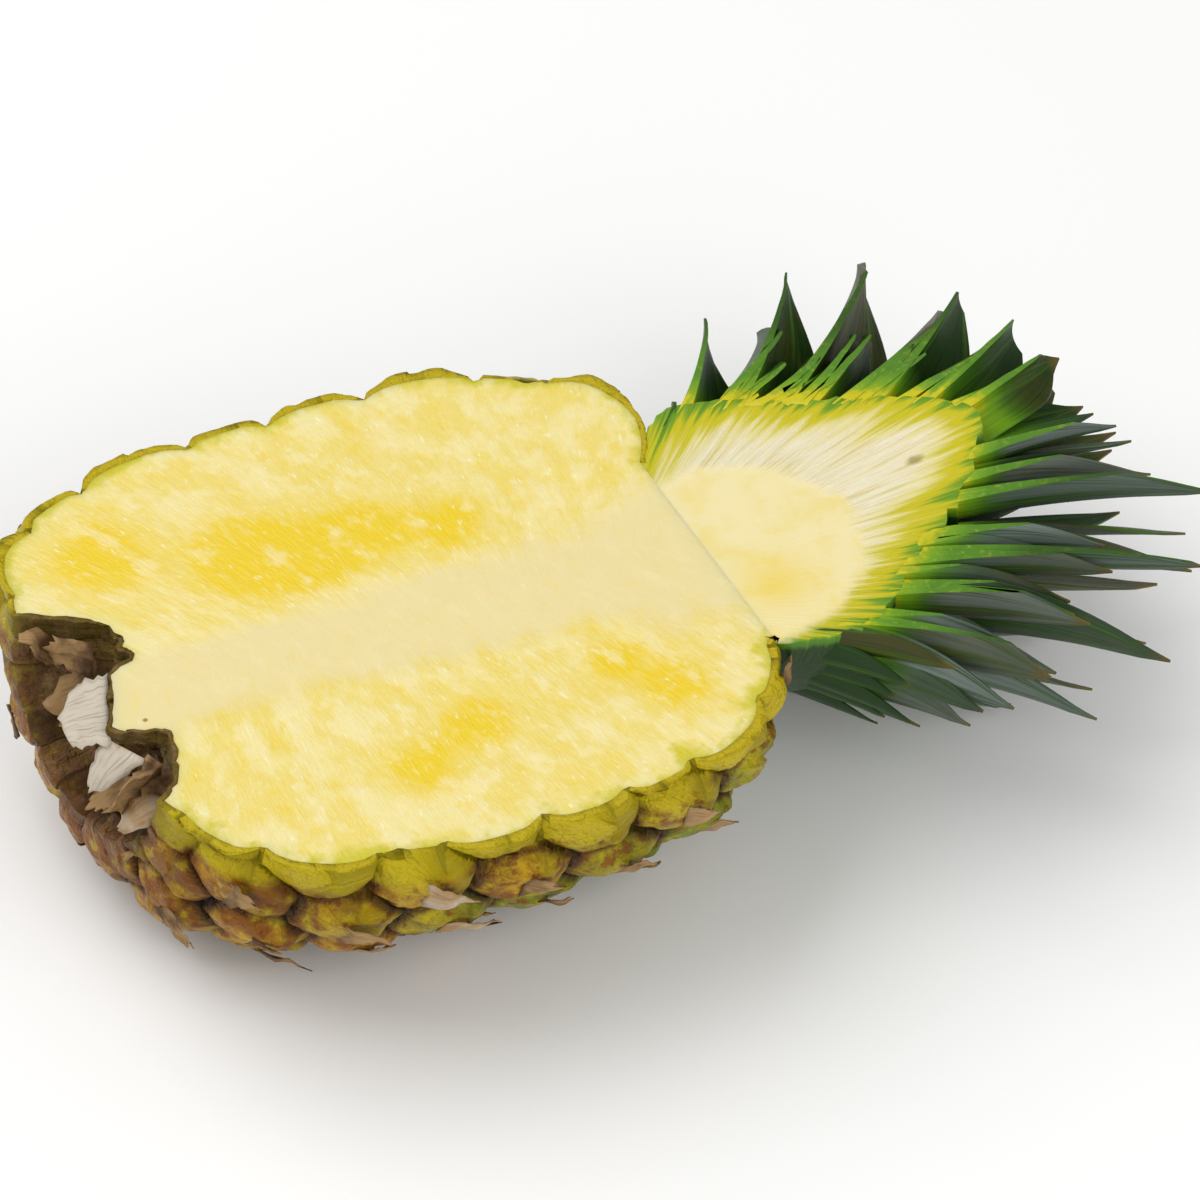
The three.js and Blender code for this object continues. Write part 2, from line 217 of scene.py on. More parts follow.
def spline(points, along):
    """Points on a smooth curve through a few points, by share of the points passed."""
    points = np.asarray(points, float)
    last = len(points) - 1
    place = np.clip(along, 0, 1) * last
    i = np.minimum(place.astype(int), last - 1)
    t = (place - i)[..., None]
    before, start = points[np.maximum(i - 1, 0)], points[i]
    end, after = points[i + 1], points[np.minimum(i + 2, last)]
    out, back = (end - before) / 2, (after - start) / 2
    cubed, squared = 2 * (start - end) + out + back, 3 * (end - start) - 2 * out - back
    return cubed * t**3 + squared * t**2 + out * t + start


def coordinates(piece):
    """A row of x, y and z for each vertex."""
    values = np.empty(len(piece.data.vertices) * 3)
    piece.data.vertices.foreach_get("co", values)
    return values.reshape(-1, 3)


def place(piece, points):
    """Moves each vertex to its point."""
    piece.data.vertices.foreach_set("co", np.asarray(points, np.float32).ravel())
    piece.data.update()


def store(piece, name, values):
    """Keeps one number for each vertex, for the materials to read."""
    layer = piece.data.attributes.get(name) or piece.data.attributes.new(name, "FLOAT", "POINT")
    layer.data.foreach_set("value", np.asarray(values, np.float32))


def store_uv(piece, name, u, v):
    """Keeps two numbers for each vertex as a UV map."""
    layer = piece.data.uv_layers.get(name) or piece.data.uv_layers.new(name=name)
    corner = np.empty(len(piece.data.loops), np.int32)
    piece.data.loops.foreach_get("vertex_index", corner)
    layer.data.foreach_set("uv", np.stack([u[corner], v[corner]], 1).astype(np.float32).ravel())


def new_grid(name, columns, rows):
    """A grid primitive, with each vertex's place on it from 0 to 1 both ways."""
    bpy.ops.object.select_all(action="DESELECT")
    bpy.ops.mesh.primitive_grid_add(x_subdivisions=columns, y_subdivisions=rows, size=1)
    piece = bpy.context.object
    piece.name = piece.data.name = name
    u, v, _ = (coordinates(piece) + 0.5).T
    return piece, np.round(u * columns) / columns, np.round(v * rows) / rows


def select_only(piece):
    bpy.ops.object.select_all(action="DESELECT")
    piece.select_set(True)
    bpy.context.view_layer.objects.active = piece


def apply_solidify(piece, thickness, offset):
    """Gives a sheet a second wall. Its vertices follow the first wall's."""
    select_only(piece)
    modifier = piece.modifiers.new("wall", "SOLIDIFY")
    modifier.thickness = thickness
    modifier.offset = offset
    bpy.ops.object.modifier_apply(modifier=modifier.name)


def edit(piece):
    """Opens a piece in edit mode with all of it selected."""
    select_only(piece)
    bpy.ops.object.mode_set(mode="EDIT")
    bpy.ops.mesh.select_all(action="SELECT")


def merge_poles(piece):
    """Merges the vertices that meet in one point, and drops faces without area."""
    edit(piece)
    bpy.ops.mesh.remove_doubles(threshold=1e-6)
    bpy.ops.mesh.dissolve_degenerate(threshold=1e-7)
    bpy.ops.object.mode_set(mode="OBJECT")


def slice_into_cells(piece, cell):
    """Cuts a piece along a square net, so that its flat face can carry colour."""
    low, high = coordinates(piece).min(0), coordinates(piece).max(0)
    edit(piece)
    for axis in (0, 1):
        for step in range(1, int((high[axis] - low[axis]) / cell) + 1):
            point = [0, 0, 0]
            point[axis] = low[axis] + step * cell
            normal = [0, 0, 0]
            normal[axis] = 1
            bpy.ops.mesh.select_all(action="SELECT")
            bpy.ops.mesh.bisect(plane_co=point, plane_no=normal)
    bpy.ops.object.mode_set(mode="OBJECT")


def cut_flat(piece, height):
    """Takes off what is above a level plane and closes the cut."""
    edit(piece)
    bpy.ops.mesh.bisect(
        plane_co=(0, 0, height), plane_no=(0, 0, 1), use_fill=True, clear_outer=True, threshold=1e-6
    )
    bpy.ops.object.mode_set(mode="OBJECT")


def signed_volume(piece):
    """A closed piece's volume, negative if its faces point inwards."""
    mesh = piece.data
    mesh.calc_loop_triangles()
    corners = np.empty(len(mesh.loop_triangles) * 3, np.int32)
    mesh.loop_triangles.foreach_get("vertices", corners)
    a, b, c = coordinates(piece)[corners.reshape(-1, 3)].transpose(1, 0, 2)
    return np.einsum("ij,ij->", a, np.cross(b, c)) / 6


def face_outwards(piece):
    if signed_volume(piece) < 0:
        edit(piece)
        bpy.ops.mesh.flip_normals()
        bpy.ops.object.mode_set(mode="OBJECT")


def join(pieces, name):
    bpy.ops.object.select_all(action="DESELECT")
    for piece in pieces:
        piece.select_set(True)
    bpy.context.view_layer.objects.active = pieces[0]
    bpy.ops.object.join()
    pieces[0].name = pieces[0].data.name = name
    return pieces[0]


def finish_piece(piece, materials, nodes=(), smooth_angle=None, second=None):
    """Paints a piece, rides it on the root body and hides the imported parts that it stands in for. Faces in
    second take material 2.
    """
    for material in materials:
        piece.data.materials.append(material)
    if second is not None:
        piece.data.polygons.foreach_set("material_index", second.astype(np.int32))
    select_only(piece)
    if smooth_angle is None:
        bpy.ops.object.shade_smooth()
    else:
        bpy.ops.object.shade_smooth_by_angle(angle=math.radians(smooth_angle))
    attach(piece, "root")
    if nodes:
        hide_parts(*nodes)
    return piece


def flat_faces(piece, height):
    """Which faces lie in a level plane, facing up."""
    count = len(piece.data.polygons)
    normals, middles = np.empty(count * 3), np.empty(count * 3)
    piece.data.polygons.foreach_get("normal", normals)
    piece.data.polygons.foreach_get("center", middles)
    return (normals[2::3] > 0.95) & (np.abs(middles[2::3] - height) < 0.45 * MM)


class Barrel:
    """The fruit's outline through its axis, by distance along it from the stalk end."""

    def __init__(self, fruit):
        turn = np.linspace(0, math.pi, 601)
        power = 2 / fruit.squareness
        self.fruit = fruit
        self.x = -fruit.length / 2 * np.sign(np.cos(turn)) * np.abs(np.cos(turn)) ** power
        self.radius = fruit.width / 2 * np.abs(np.sin(turn)) ** power
        steps = np.hypot(np.diff(self.x), np.diff(self.radius))
        self.distance = np.concatenate([[0], np.cumsum(steps)])
        self.length = self.distance[-1]
        inside = np.flatnonzero(self.radius >= fruit.eye_end_radius)
        self.first, self.last = self.distance[inside[0]], self.distance[inside[-1]]
        self.eyes = int((self.last - self.first) / fruit.eye_step)
        under_weight = round((self.length / 2 + fruit.rest_x - self.first) / fruit.eye_step)
        self.start = -math.pi / 2 - self.turn(under_weight)

    @staticmethod
    def turn(places):
        """The angle from an eye to one that many places further on the spiral, the short way round."""
        return math.remainder(places * GOLDEN_ANGLE, 2 * math.pi)

    def where(self, radius, at_crown):
        """The distance at which the outline has that radius, near one end."""
        inside = np.flatnonzero(self.radius >= radius)
        return self.distance[inside[-1] if at_crown else inside[0]]

    def points(self, angle, distance, rise=0.0, lean=0.0):
        """Points of the rind in the part's frame."""
        near, far = (np.clip(distance + s * MM / 2, 0, self.length) for s in (-1, 1))
        step_x = np.interp(far, self.distance, self.x) - np.interp(near, self.distance, self.x)
        step_r = np.interp(far, self.distance, self.radius) - np.interp(near, self.distance, self.radius)
        size = np.hypot(step_x, step_r)
        step_x, step_r = step_x / size, step_r / size
        x = np.interp(distance, self.distance, self.x) - step_r * rise + step_x * lean
        radius = np.interp(distance, self.distance, self.radius) + step_x * rise + step_r * lean
        return self.swing(angle, x, radius, 1.0)

    def swing(self, angle, x, radius, slant):
        """Turns (x, radius) round the axis and slants the stalk end."""
        fruit = self.fruit
        along = x / fruit.length
        flatness = fruit.depth / (fruit.width / 2) * (1 - fruit.depth_taper * along)
        y = radius * np.cos(angle)
        z = radius * np.sin(angle) * flatness
        jut = (fruit.base_slant * y - fruit.base_droop * z) * (0.5 - along) * slant
        return np.stack([x - jut - fruit.rest_x, y, np.broadcast_to(z + CUT_HEIGHT, y.shape)], -1)

    def eye_at(self, angle, distance):
        """For points of the rind: nearness to their eye's middle, its number, and their offsets from it."""
        place = (distance - self.first) / self.fruit.eye_step
        away = angle - self.start
        left, right = self.turn(EYE_LEFT), self.turn(EYE_RIGHT)
        area = EYE_LEFT * right - EYE_RIGHT * left
        a = (place * right - EYE_RIGHT * away) / area
        b = (EYE_LEFT * away - place * left) / area
        cell_a, cell_b = np.floor(a), np.floor(b)
        part_a, part_b = a - cell_a, b - cell_b
        more, less = np.maximum(part_a, part_b), np.minimum(part_a, part_b)
        weights = np.stack([1 - more, more - less, less])
        ranked = np.sort(weights, 0)
        which = weights.argmax(0)
        eye_a = cell_a + ((which == 1) & (part_a >= part_b)) + (which == 2)
        eye_b = cell_b + ((which == 1) & (part_a < part_b)) + (which == 2)
        along = (EYE_LEFT * (a - eye_a) + EYE_RIGHT * (b - eye_b)) * self.fruit.eye_step
        across = left * (a - eye_a) + right * (b - eye_b)
        across = across * np.interp(distance, self.distance, self.radius)
        fade = np.clip(np.minimum(place, self.eyes - 1 - place) / (EYE_LEFT + EYE_RIGHT), 0, 1)
        return ranked[2] - ranked[1], EYE_LEFT * eye_a + EYE_RIGHT * eye_b, along, across, fade


def eye_mound(fruit, nearness):
    return fruit.eye_rise * (1 - (1 - nearness) ** fruit.eye_steepness)


def scale_mask(along, across):
    """The leafy scale on the stalk side of an eye, which ends in a point past its middle."""
    run = np.clip((along + 8 * MM) / (10.5 * MM), 0, 1)
    half_width = 7.5 * MM * (1 - run**1.6)
    return smooth(-0.7 * MM, 0.5 * MM, half_width - np.abs(across)) * smooth(1.0, 0.9, run), run


STALK_ROWS = 34
EYE_ROWS = 176
CROWN_ROWS = 14
SKIN_COLUMNS = 200
SKIN_ROWS = STALK_ROWS + EYE_ROWS + CROWN_ROWS
STALK_PROFILE = (  # broken stalk and hollow in mm: depth from the fruit's end, radius
    (4, 0),
    (3.7, 4),
    (4.3, 7.6),
    (9.1, 10),
    (12.6, 12.4),
    (13, 15.5),
    (10.4, 21),
    (5, 25.6),
    (2.0, 27.5),
)
STUMP_RADIUS = 13 * MM
SHOULDER_RADIUS = 33 * MM  # where the rind turns in to the crown
SOCKET = ((57.6, 20.6), (62.6, -32.6))  # far and near ends of the line where fruit and crown meet


def skin_surface(barrel, u, v, detail):
    """The fruit's outside from the broken stalk to the crown's socket, with or without its fine relief."""
    fruit = barrel.fruit
    angle = -math.pi * (1 - u)
    row = v * SKIN_ROWS
    stalk_end = barrel.where(fruit.hollow_radius, False)
    crown_end = barrel.where(SHOULDER_RADIUS, True)
    distance = stalk_end + np.clip((row - STALK_ROWS) / EYE_ROWS, 0, 1) * (crown_end - stalk_end)
    nearness, eye, along, across, fade = barrel.eye_at(angle, distance)
    rise = eye_mound(fruit, nearness) * (1.0 if detail else 0.85)
    shift, breadth = (chance(eye + 31) - 0.5) * 4 * MM, mix(0.85, 1.25, chance(eye + 57))
    scale, run = scale_mask(along - shift, across * breadth)
    lean = 0.0
    if detail:
        lump = sum(
            np.exp(-((along - 4.2 * MM) ** 2 + (across - side * 3.4 * MM) ** 2) / (2 * (2.1 * MM) ** 2))
            for side in (-1, 1)
        )
        rise = rise + (0.2 + 1.1 * run) * scale * MM + 1.2 * MM * lump * (1 - scale)
        rise = rise - 1.3 * MM * (1 - smooth(0.0, 0.07, nearness))
        lean = 1.6 * MM * scale * run**2
    points = barrel.points(angle, distance, rise * fade, lean * fade)

    stalk = row < STALK_ROWS
    profile = spline(STALK_PROFILE, row[stalk] / STALK_ROWS) * MM
    slant = smooth(STUMP_RADIUS, fruit.hollow_radius, profile[:, 1])
    base = -fruit.length / 2
    points[stalk] = barrel.swing(angle[stalk], base + profile[:, 0], profile[:, 1], slant)
    broken = smooth(12.4 * MM, 9 * MM, profile[:, 1])
    points[stalk, 0] += broken * np.maximum(2.4 * MM + 0.35 * points[stalk, 1], -1.5 * MM)
    torn = np.sin(math.pi * np.clip(row[stalk] / STALK_ROWS, 0, 1)) * MM
    frayed = 1.2 * ripple(points[stalk], 2.2 * MM, 4) + 1.5 * ripple(points[stalk], 6 * MM, 8)
    points[stalk, 0] += torn * frayed
    points[stalk, 1] += torn * 1.3 * ripple(points[stalk], 2.6 * MM, 6)

    crown = row > STALK_ROWS + EYE_ROWS
    step = (row[crown] - STALK_ROWS - EYE_ROWS) / CROWN_ROWS
    far, near = np.array(SOCKET) * MM
    middle, half = (far + near) / 2, (far - near) / 2
    turn = angle[crown]
    ring = np.stack(
        [
            middle[0] + half[0] * np.cos(turn) - fruit.rest_x,
            middle[1] + half[1] * np.cos(turn),
            half[1] * np.sin(turn) + CUT_HEIGHT,
        ],
        -1,
    )
    fold = np.sin(math.pi * step)[:, None] * np.array([0.8 * MM, 0, 0])
    points[crown] = mix(points[crown], ring, step[:, None]) + fold
    marks = {
        "groove": (1 - smooth(0.03, 0.24, nearness)) * fade,
        "scale": scale * fade,
        "run": run,
        "ray": across / (0.6 * MM + 10 * MM * (1.05 - run)),
        "tone": chance(eye),
        "stalk": smooth(STALK_ROWS + 6, STALK_ROWS - 4, row),
        "rise": smooth(-30 * MM, -2 * MM, points[:, 2] - CUT_HEIGHT),
        "lobe": ripple(np.stack([along / MM, across / MM, eye], -1), 3.2),
        "crownward": np.clip((row - STALK_ROWS) / EYE_ROWS, 0, 1),
    }
    return points, marks


def grid_normals(points, order, shape):
    """Outward normals of a grid of points."""
    net = points[order].reshape(*shape, 3)
    result = np.empty_like(points)
    result[order] = unit(np.cross(np.gradient(net, axis=1), np.gradient(net, axis=0)).reshape(-1, 3))
    return result


def skin_walls(barrel, u, v):
    """The outer and inner walls of the skin, with the marks for its colours."""
    fruit = barrel.fruit
    outer, marks = skin_surface(barrel, u, v, True)
    plain, _ = skin_surface(barrel, u, v, False)
    order = np.lexsort((u, v))
    normals = grid_normals(plain, order, (SKIN_ROWS + 1, SKIN_COLUMNS + 1))
    at_cut = (u < 1e-6) | (u > 1 - 1e-6)
    normals[at_cut, 2] = 0
    inner = plain - normals * fruit.skin
    rough = ripple(outer, 2.0 * MM) * 0.35 * MM + ripple(outer, 6 * MM, 5) * 0.8 * MM
    rough = rough + ripple(outer, 3.5 * MM, 9) * 0.8 * MM * marks["stalk"] + marks["lobe"] * 0.3 * MM
    outer = outer + normals * rough[:, None]
    outer[at_cut, 2] = inner[at_cut, 2] = CUT_HEIGHT
    outer[:, 2] = np.maximum(outer[:, 2], 0)
    inner[:, 2] = np.maximum(inner[:, 2], fruit.skin / 2)
    return outer, inner, marks


def cut_outline(barrel):
    """The inner edge of the skin in the cut face, from the far side round to the near side."""
    columns, rows = np.meshgrid(np.arange(SKIN_COLUMNS + 1), np.arange(SKIN_ROWS + 1))
    _, inner, _ = skin_walls(barrel, columns.ravel() / SKIN_COLUMNS, rows.ravel() / SKIN_ROWS)
    net = inner.reshape(SKIN_ROWS + 1, SKIN_COLUMNS + 1, 3)
    return net[1:, -1], net[1:, 0]


def distance_to(points, line):
    """Shortest distance in plan from each point to an open line of points."""
    start, step = line[:-1, :2], np.diff(line[:, :2], axis=0)
    size = np.maximum((step**2).sum(1), 1e-14)
    away = points[:, None, :2] - start[None]
    along = np.clip((away * step).sum(2) / size, 0, 1)
    return np.linalg.norm(away - along[..., None] * step, axis=2).min(1)


SOFT = {"interpolation_type": "SMOOTHSTEP"}
PRODUCT = {"operation": "MULTIPLY"}
SUM = {"operation": "MULTIPLY_ADD"}  # the first input times the second, plus the third
NOISE = {"Scale": 1.0, "Roughness": 0.55}


def add_node(tree, kind, inputs=(), output=0, **settings):
    """Adds a shader node with its settings, sets or links its inputs and gives back one of its outputs."""
    node = tree.nodes.new("ShaderNode" + kind)
    for name, value in settings.items():
        setattr(node, name, value)
    for key, value in inputs.items() if isinstance(inputs, dict) else enumerate(inputs):
        if isinstance(value, bpy.types.NodeSocket):
            tree.links.new(value, node.inputs[key])
        else:
            node.inputs[key].default_value = value
    return node.outputs[output]


def new_material(name, marks=(), maps=(), grains=None, **constants):
    """A material with constants on its shader's own sockets, and what it reads from the piece:
    marks and UV maps by name, the spot in metres, and noise on these with grains of a size in mm."""
    material = bpy.data.materials.new(name)
    material.use_nodes = True
    shader = material.node_tree.nodes["Principled BSDF"]
    for key, value in constants.items():
        shader.inputs[key.replace("_", " ").title().replace("Ior", "IOR")].default_value = value
    add = partial(add_node, material.node_tree)
    read = {mark: add("Attribute", output=2, attribute_name=mark) for mark in marks}
    read["spot"] = add("TexCoord", output=3)
    for uv_map in maps:
        read[uv_map] = add("UVMap", uv_map=uv_map)
    for grain, (vector, size, detail) in (grains or {}).items():
        scaled = add("Mapping", {0: read[vector], 3: [1 / (s * MM) for s in size]})
        read[grain] = add("TexNoise", {0: scaled, "Detail": detail, **NOISE})
    return material, shader, add, SimpleNamespace(**read)


def finish_material(material, shader, tint, coats, height, depth, strength):
    """Lays coats of colour over a base and roughens the surface by a height. A coat lies where all its masks
    are: each is a number, a socket, or a socket with the two values between which the coat fades in."""
    tree = material.node_tree
    for coat, *masks in coats:
        cover = 1.0
        for mask in masks:
            if isinstance(mask, tuple):
                mask = add_node(tree, "MapRange", mask, **SOFT)
            cover = add_node(tree, "Math", (cover, mask), **PRODUCT)
        tint = add_node(tree, "Mix", {0: cover, 6: tint, 7: coat}, 2, data_type="RGBA")
    relief = add_node(tree, "Bump", {"Height": height, "Distance": depth, "Strength": strength})
    tree.links.new(tint, shader.inputs["Base Color"])
    tree.links.new(relief, shader.inputs["Normal"])
    return material


def flesh_material(colours):
    """Wet fruit flesh from the knife: juicy and see-through, with pale strands that run out from the core.
    Real fibres are a fifth of a millimetre thick. They are drawn coarser here so that they show."""
    material, shader, add, read = new_material(
        "Wet pineapple flesh",
        ("core", "ripe", "rim", "stalk"),
        ("fibre",),
        {
            "strands": ("fibre", (1.3, 5, 1), 4),
            "glints": ("fibre", (0.7, 3, 1), 2),
            "clumps": ("fibre", (8, 20, 1), 3),
            "flecks": ("fibre", (3, 9, 1), 3),
            "cloud": ("spot", (9, 9, 9), 4),
            "nicks": ("spot", (3, 3, 3), 3),
            "curds": ("fibre", (4, 7, 1), 5),
        },
        roughness=0.28,
        ior=1.36,
        subsurface_weight=0.3,
        subsurface_scale=0.004,
        subsurface_radius=(1.0, 0.75, 0.2),
    )
    core = add("Math", (read.cloud, 1.1, read.core), **SUM)
    off_core = add("MapRange", (core, 0.7, 1.45, 1, 0.35), **SOFT)
    off_stalk = add("MapRange", (read.stalk, 0, 1, 1, 0))
    golden = add("Math", (read.curds, 1.5, add("Math", (read.clumps, 1.1, read.ripe), **SUM)), **SUM)
    pale = add("Math", (read.cloud, 0.5, read.clumps), **SUM)
    rim = add("Math", (read.nicks, 5.0, add("Math", (read.cloud, 9.0, read.rim), **SUM)), **SUM)
    speck = add("VectorMath", (read.spot, SPECK), output=1, operation="DISTANCE")
    coats = [
        (colours.strand, (pale, 0.67, 0.91, 0, 0.55)),
        (colours.ripe, (golden, 1.4, 2.1, 0, 0.95)),
        (colours.core, (core, 0.7, 1.45, 0, 0.95)),
        (colours.ripe, (read.strands, 0.48, 0.36, 0, 0.2), off_core),
        (colours.strand, (read.curds, 0.5, 0.68, 0, 0.5), off_core),
        (colours.ripe, (read.curds, 0.44, 0.3, 0, 0.4), off_core),
        (colours.strand, (read.strands, 0.56, 0.72, 0, 0.45), (read.flecks, 0.4, 0.6), off_core),
        # Near-white flecks along the fibres: painted highlights that stand for the wet glints.
        (linear("FBF6DC"), (read.glints, 0.6, 0.72, 0, 0.6), (read.flecks, 0.55, 0.42), off_core),
        (colours.lime, (rim, 10.4, 7.4, 0, 0.85), off_stalk),
        (colours.skin_edge, (read.rim, 1.0, 0.2)),
        (colours.rind_brown, (speck, 0.7 * MM, 0.2 * MM, 0, 0.8)),
    ]
    height = add("Math", (read.glints, 0.5, read.strands), **SUM)
    height = add("Math", (read.curds, 1.5, add("Math", (read.cloud, 1.5, height), **SUM)), **SUM)
    height = add("Math", (height, off_core), **PRODUCT)
    return finish_material(material, shader, colours.flesh, coats, height, 0.4 * MM, 0.6)


def rind_material(colours):
    """Waxy rind: hard green-gold eyes with dry brown scales, dark grooves and a lime flush under the cut."""
    material, shader, add, read = new_material(
        "Pineapple rind",
        ("groove", "scale", "run", "ray", "tone", "stalk", "rise", "crownward"),
        (),
        {
            "blotch": ("spot", (6, 6, 6), 4),
            "patch": ("spot", (12, 12, 12), 3),
            "speck": ("spot", (1.2, 1.2, 1.2), 4),
            "wrinkle": ("spot", (3, 3, 3), 3),
        },
        roughness=0.32,
        specular_ior_level=0.22,
    )
    fan = [add("Math", (mark, times), **PRODUCT) for mark, times in ((read.ray, 11.0), (read.tone, 20.0))]
    streaks = add("TexNoise", {0: add("CombineXYZ", fan), "Detail": 2.0, **NOISE})
    green = add("Math", (read.tone, 0.5, add("Math", (read.crownward, 1.0, read.patch), **SUM)), **SUM)
    aged = add("Math", (read.crownward, -0.4, add("Math", (read.tone, -0.25, read.blotch), **SUM)), **SUM)
    dark = add("Math", (read.blotch, 0.4, read.tone), **SUM)
    tip = add("Math", (streaks, 0.7, read.run), **SUM)
    under_cut = add("Math", (read.blotch, 0.12, read.rise), **SUM)
    coats = [
        (colours.rind_green, (green, 0.95, 1.5)),
        (colours.rind_lime, read.rise, (read.patch, 0.3, 0.55)),
        (colours.rind_brown, (aged, 0.12, 0.45, 0, 0.9)),
        (colours.bruise, (dark, 1.0, 1.2, 0, 0.8)),
        (colours.rind_brown, (read.speck, 0.55, 0.75, 0, 0.5)),
        (colours.rind_brown, (read.wrinkle, 0.51, 0.62, 0, 0.75)),
        (colours.rind_lime, (read.wrinkle, 0.44, 0.34, 0, 0.6)),
        (colours.rind_brown, (read.blotch, 0.35, 0.6, 0, 0.7), (read.groove, 0, 0.6)),
        (colours.paper, read.scale, (tip, 0.85, 1.2, 0, 0.45)),
        (colours.rind_brown, read.scale, (streaks, 0.48, 0.25, 0, 0.55)),
        (colours.groove, read.groove, (read.rise, 1.6, 0.3)),
        (colours.rind_lime, (under_cut, 0.97, 1.05)),
        (colours.paper_dark, read.stalk, 0.85),
        (colours.groove, read.stalk, (read.speck, 0.45, 0.75, 0, 0.6)),
        (colours.paper, read.stalk, (read.blotch, 0.5, 0.72, 0, 0.5)),
    ]
    height = add("Math", (read.wrinkle, 2.0, add("Math", (streaks, 0.6, read.speck), **SUM)), **SUM)
    return finish_material(material, shader, colours.rind, coats, height, 0.9 * MM, 1.0)


def paper_material(colours):
    """Dried bract: thin, pale and fibrous, stained brown at its root and bleached where it is torn."""
    material, shader, add, read = new_material(
        "Dry papery bract",
        ("pale", "run"),
        ("flap",),
        {"veins": ("flap", (0.7, 9, 1), 4), "stain": ("spot", (4, 4, 4), 5)},
        roughness=0.75,
        ior=1.4,
    )
    bleached = add("Math", (read.stain, 0.8, read.pale), **SUM)
    stained = add("Math", (read.run, -0.3, add("Math", (read.pale, -0.9, read.stain), **SUM)), **SUM)
    coats = [
        (colours.paper_white, (bleached, 0.9, 1.35)),
        (colours.paper_dark, (stained, -0.1, 0.35)),
        (colours.paper_dark, (read.veins, 0.5, 0.68, 0, 0.45)),
    ]
    height = add("Math", (read.veins, 0.3, read.stain), **SUM)
    return finish_material(material, shader, colours.paper, coats, height, 0.4 * MM, 0.7)


def root_coats(reach, colours):
    """White leaf roots turn yellow, then green, towards the outside of the crown."""
    return [
        (colours.root, (reach, -14.0, -6.0, 0, 0.85)),
        (colours.yellow, (reach, -8.5, -3.0)),
        (colours.leaf_cut, (reach, -2.0, 2.5)),
        (colours.leaf_base, (reach, 1.5, 7.0)),
    ]


def heart_material(colours):
    """Moist crown heart: cream stem under packed white leaf roots, which turn yellow and green outwards."""
    material, shader, add, read = new_material(
        "Moist crown heart",
        ("reach", "dome", "ripe"),
        ("lane",),
        {
            "roots": ("lane", (1.2, 30, 1), 2),
            "bands": ("lane", (4, 40, 1), 2),
            "threads": ("lane", (0.4, 14, 1), 3),
            "clumps": ("spot", (7, 7, 7), 4),
        },
        roughness=0.35,
        ior=1.36,
        subsurface_weight=0.25,
        subsurface_scale=0.003,
        subsurface_radius=(1.0, 0.85, 0.4),
    )
    reach = add("Math", (read.roots, 18.0, add("Math", (read.bands, 14.0, read.reach), **SUM)), **SUM)
    reach = add("Math", (reach, -13.8), operation="ADD")
    dome = add("MapRange", (add("Math", (read.clumps, 0.3, read.dome), **SUM), 0.56, 0.72), **SOFT)
    off_dome = add("MapRange", (dome, 0, 1, 1, 0.15))
    narrow = add("Mapping", {0: read.lane, 3: (1, NOTCH_SLIMNESS, 1)})
    notch = add("VectorMath", (narrow, NOTCH), output=1, operation="DISTANCE")
    notch = add("Math", (read.clumps, 3 * MM, notch), **SUM)
    coats = [
        (colours.core, (read.threads, 0.42, 0.65, 0, 0.7)),
        (linear("CDBB6C"), (read.roots, 0.52, 0.68, 0, 0.6)),
        *root_coats(reach, colours),
        (colours.leaf, (reach, 9.0, 18.0)),
        (colours.dome, dome),
        (colours.flesh, dome, (read.clumps, 0.45, 0.7, 0, 0.6)),
        (colours.ripe, read.ripe),
        (linear("8A7420"), (notch, 2.6 * MM, 1.6 * MM, 0, 0.65)),
    ]
    height = add("Math", (add("Math", (read.roots, 1.0, read.threads), **SUM), off_dome), **PRODUCT)
    return finish_material(material, shader, colours.heart, coats, height, 0.5 * MM, 0.8)


def leaf_material(colours):
    """Leathery blade: dark green and faintly ribbed above, dusted with waxen grey scurf beneath, which on the
    near leaves is partly a painted grey sheen.
    """
    material, shader, add, read = new_material(
        "Leathery pineapple leaf",
        ("reach", "tone", "run", "under"),
        ("blade",),
        {
            "ribs": ("blade", (0.6, 40, 1), 2),
            "bands": ("blade", (2.5, 60, 1), 2),
            "blotch": ("spot", (9, 9, 9), 3),
        },
        roughness=0.42,
        specular_ior_level=0.14,
    )
    reach = add("Math", (read.ribs, 6.0, read.reach), **SUM)
    green = add("MapRange", (reach, 6.0, 17.0), **SOFT)
    older = add("Math", (read.blotch, 1.2, read.tone), **SUM)
    wax_and_sheen = add("Math", (read.ribs, 0.6, read.bands), **SUM)
    dry = add("Math", (read.tone, 0.08, read.run), **SUM)
    coats = [
        *root_coats(add("Math", (reach, -3.0), operation="ADD"), colours),
        (colours.leaf, green),
        (colours.leaf_olive, green, (older, 1.05, 1.5)),
        (linear("172C10"), green, (read.ribs, 0.5, 0.7, 0, 0.5)),
        (colours.leaf_base, green, (read.bands, 0.5, 0.3, 0, 0.5)),
        # Grey scurf in streaks on the near leaves: partly the real scurf, partly a painted grey sheen.
        (colours.leaf_wax_and_sheen, (reach, 7.0, 15.0), (wax_and_sheen, 0.6, 0.95, 0, 0.95), read.under),
        (colours.leaf_dry, (dry, 0.93, 1.04, 0, 0.8)),
    ]
    return finish_material(material, shader, colours.heart, coats, read.ribs, 0.3 * MM, 0.7)


def cut_leaf_material(colours):
    """Leaf where the knife went through: moist, bright and stringy."""
    material, shader, add, read = new_material(
        "Cut leaf tissue", ("reach",), (), {"threads": ("spot", (1.3, 1.3, 1.3), 3)}, roughness=0.3, ior=1.36
    )
    reach = add("Math", (read.threads, 6.0, read.reach), **SUM)
    coats = [
        *root_coats(add("Math", (reach, -3.0), operation="ADD"), colours),
        (linear("A3BE35"), (read.threads, 0.5, 0.75), (reach, 1.0, 6.0, 0, 0.45)),
        (colours.leaf, (reach, 13.0, 29.0, 0, 0.75)),
    ]
    return finish_material(material, shader, colours.heart, coats, read.threads, 0.3 * MM, 0.5)


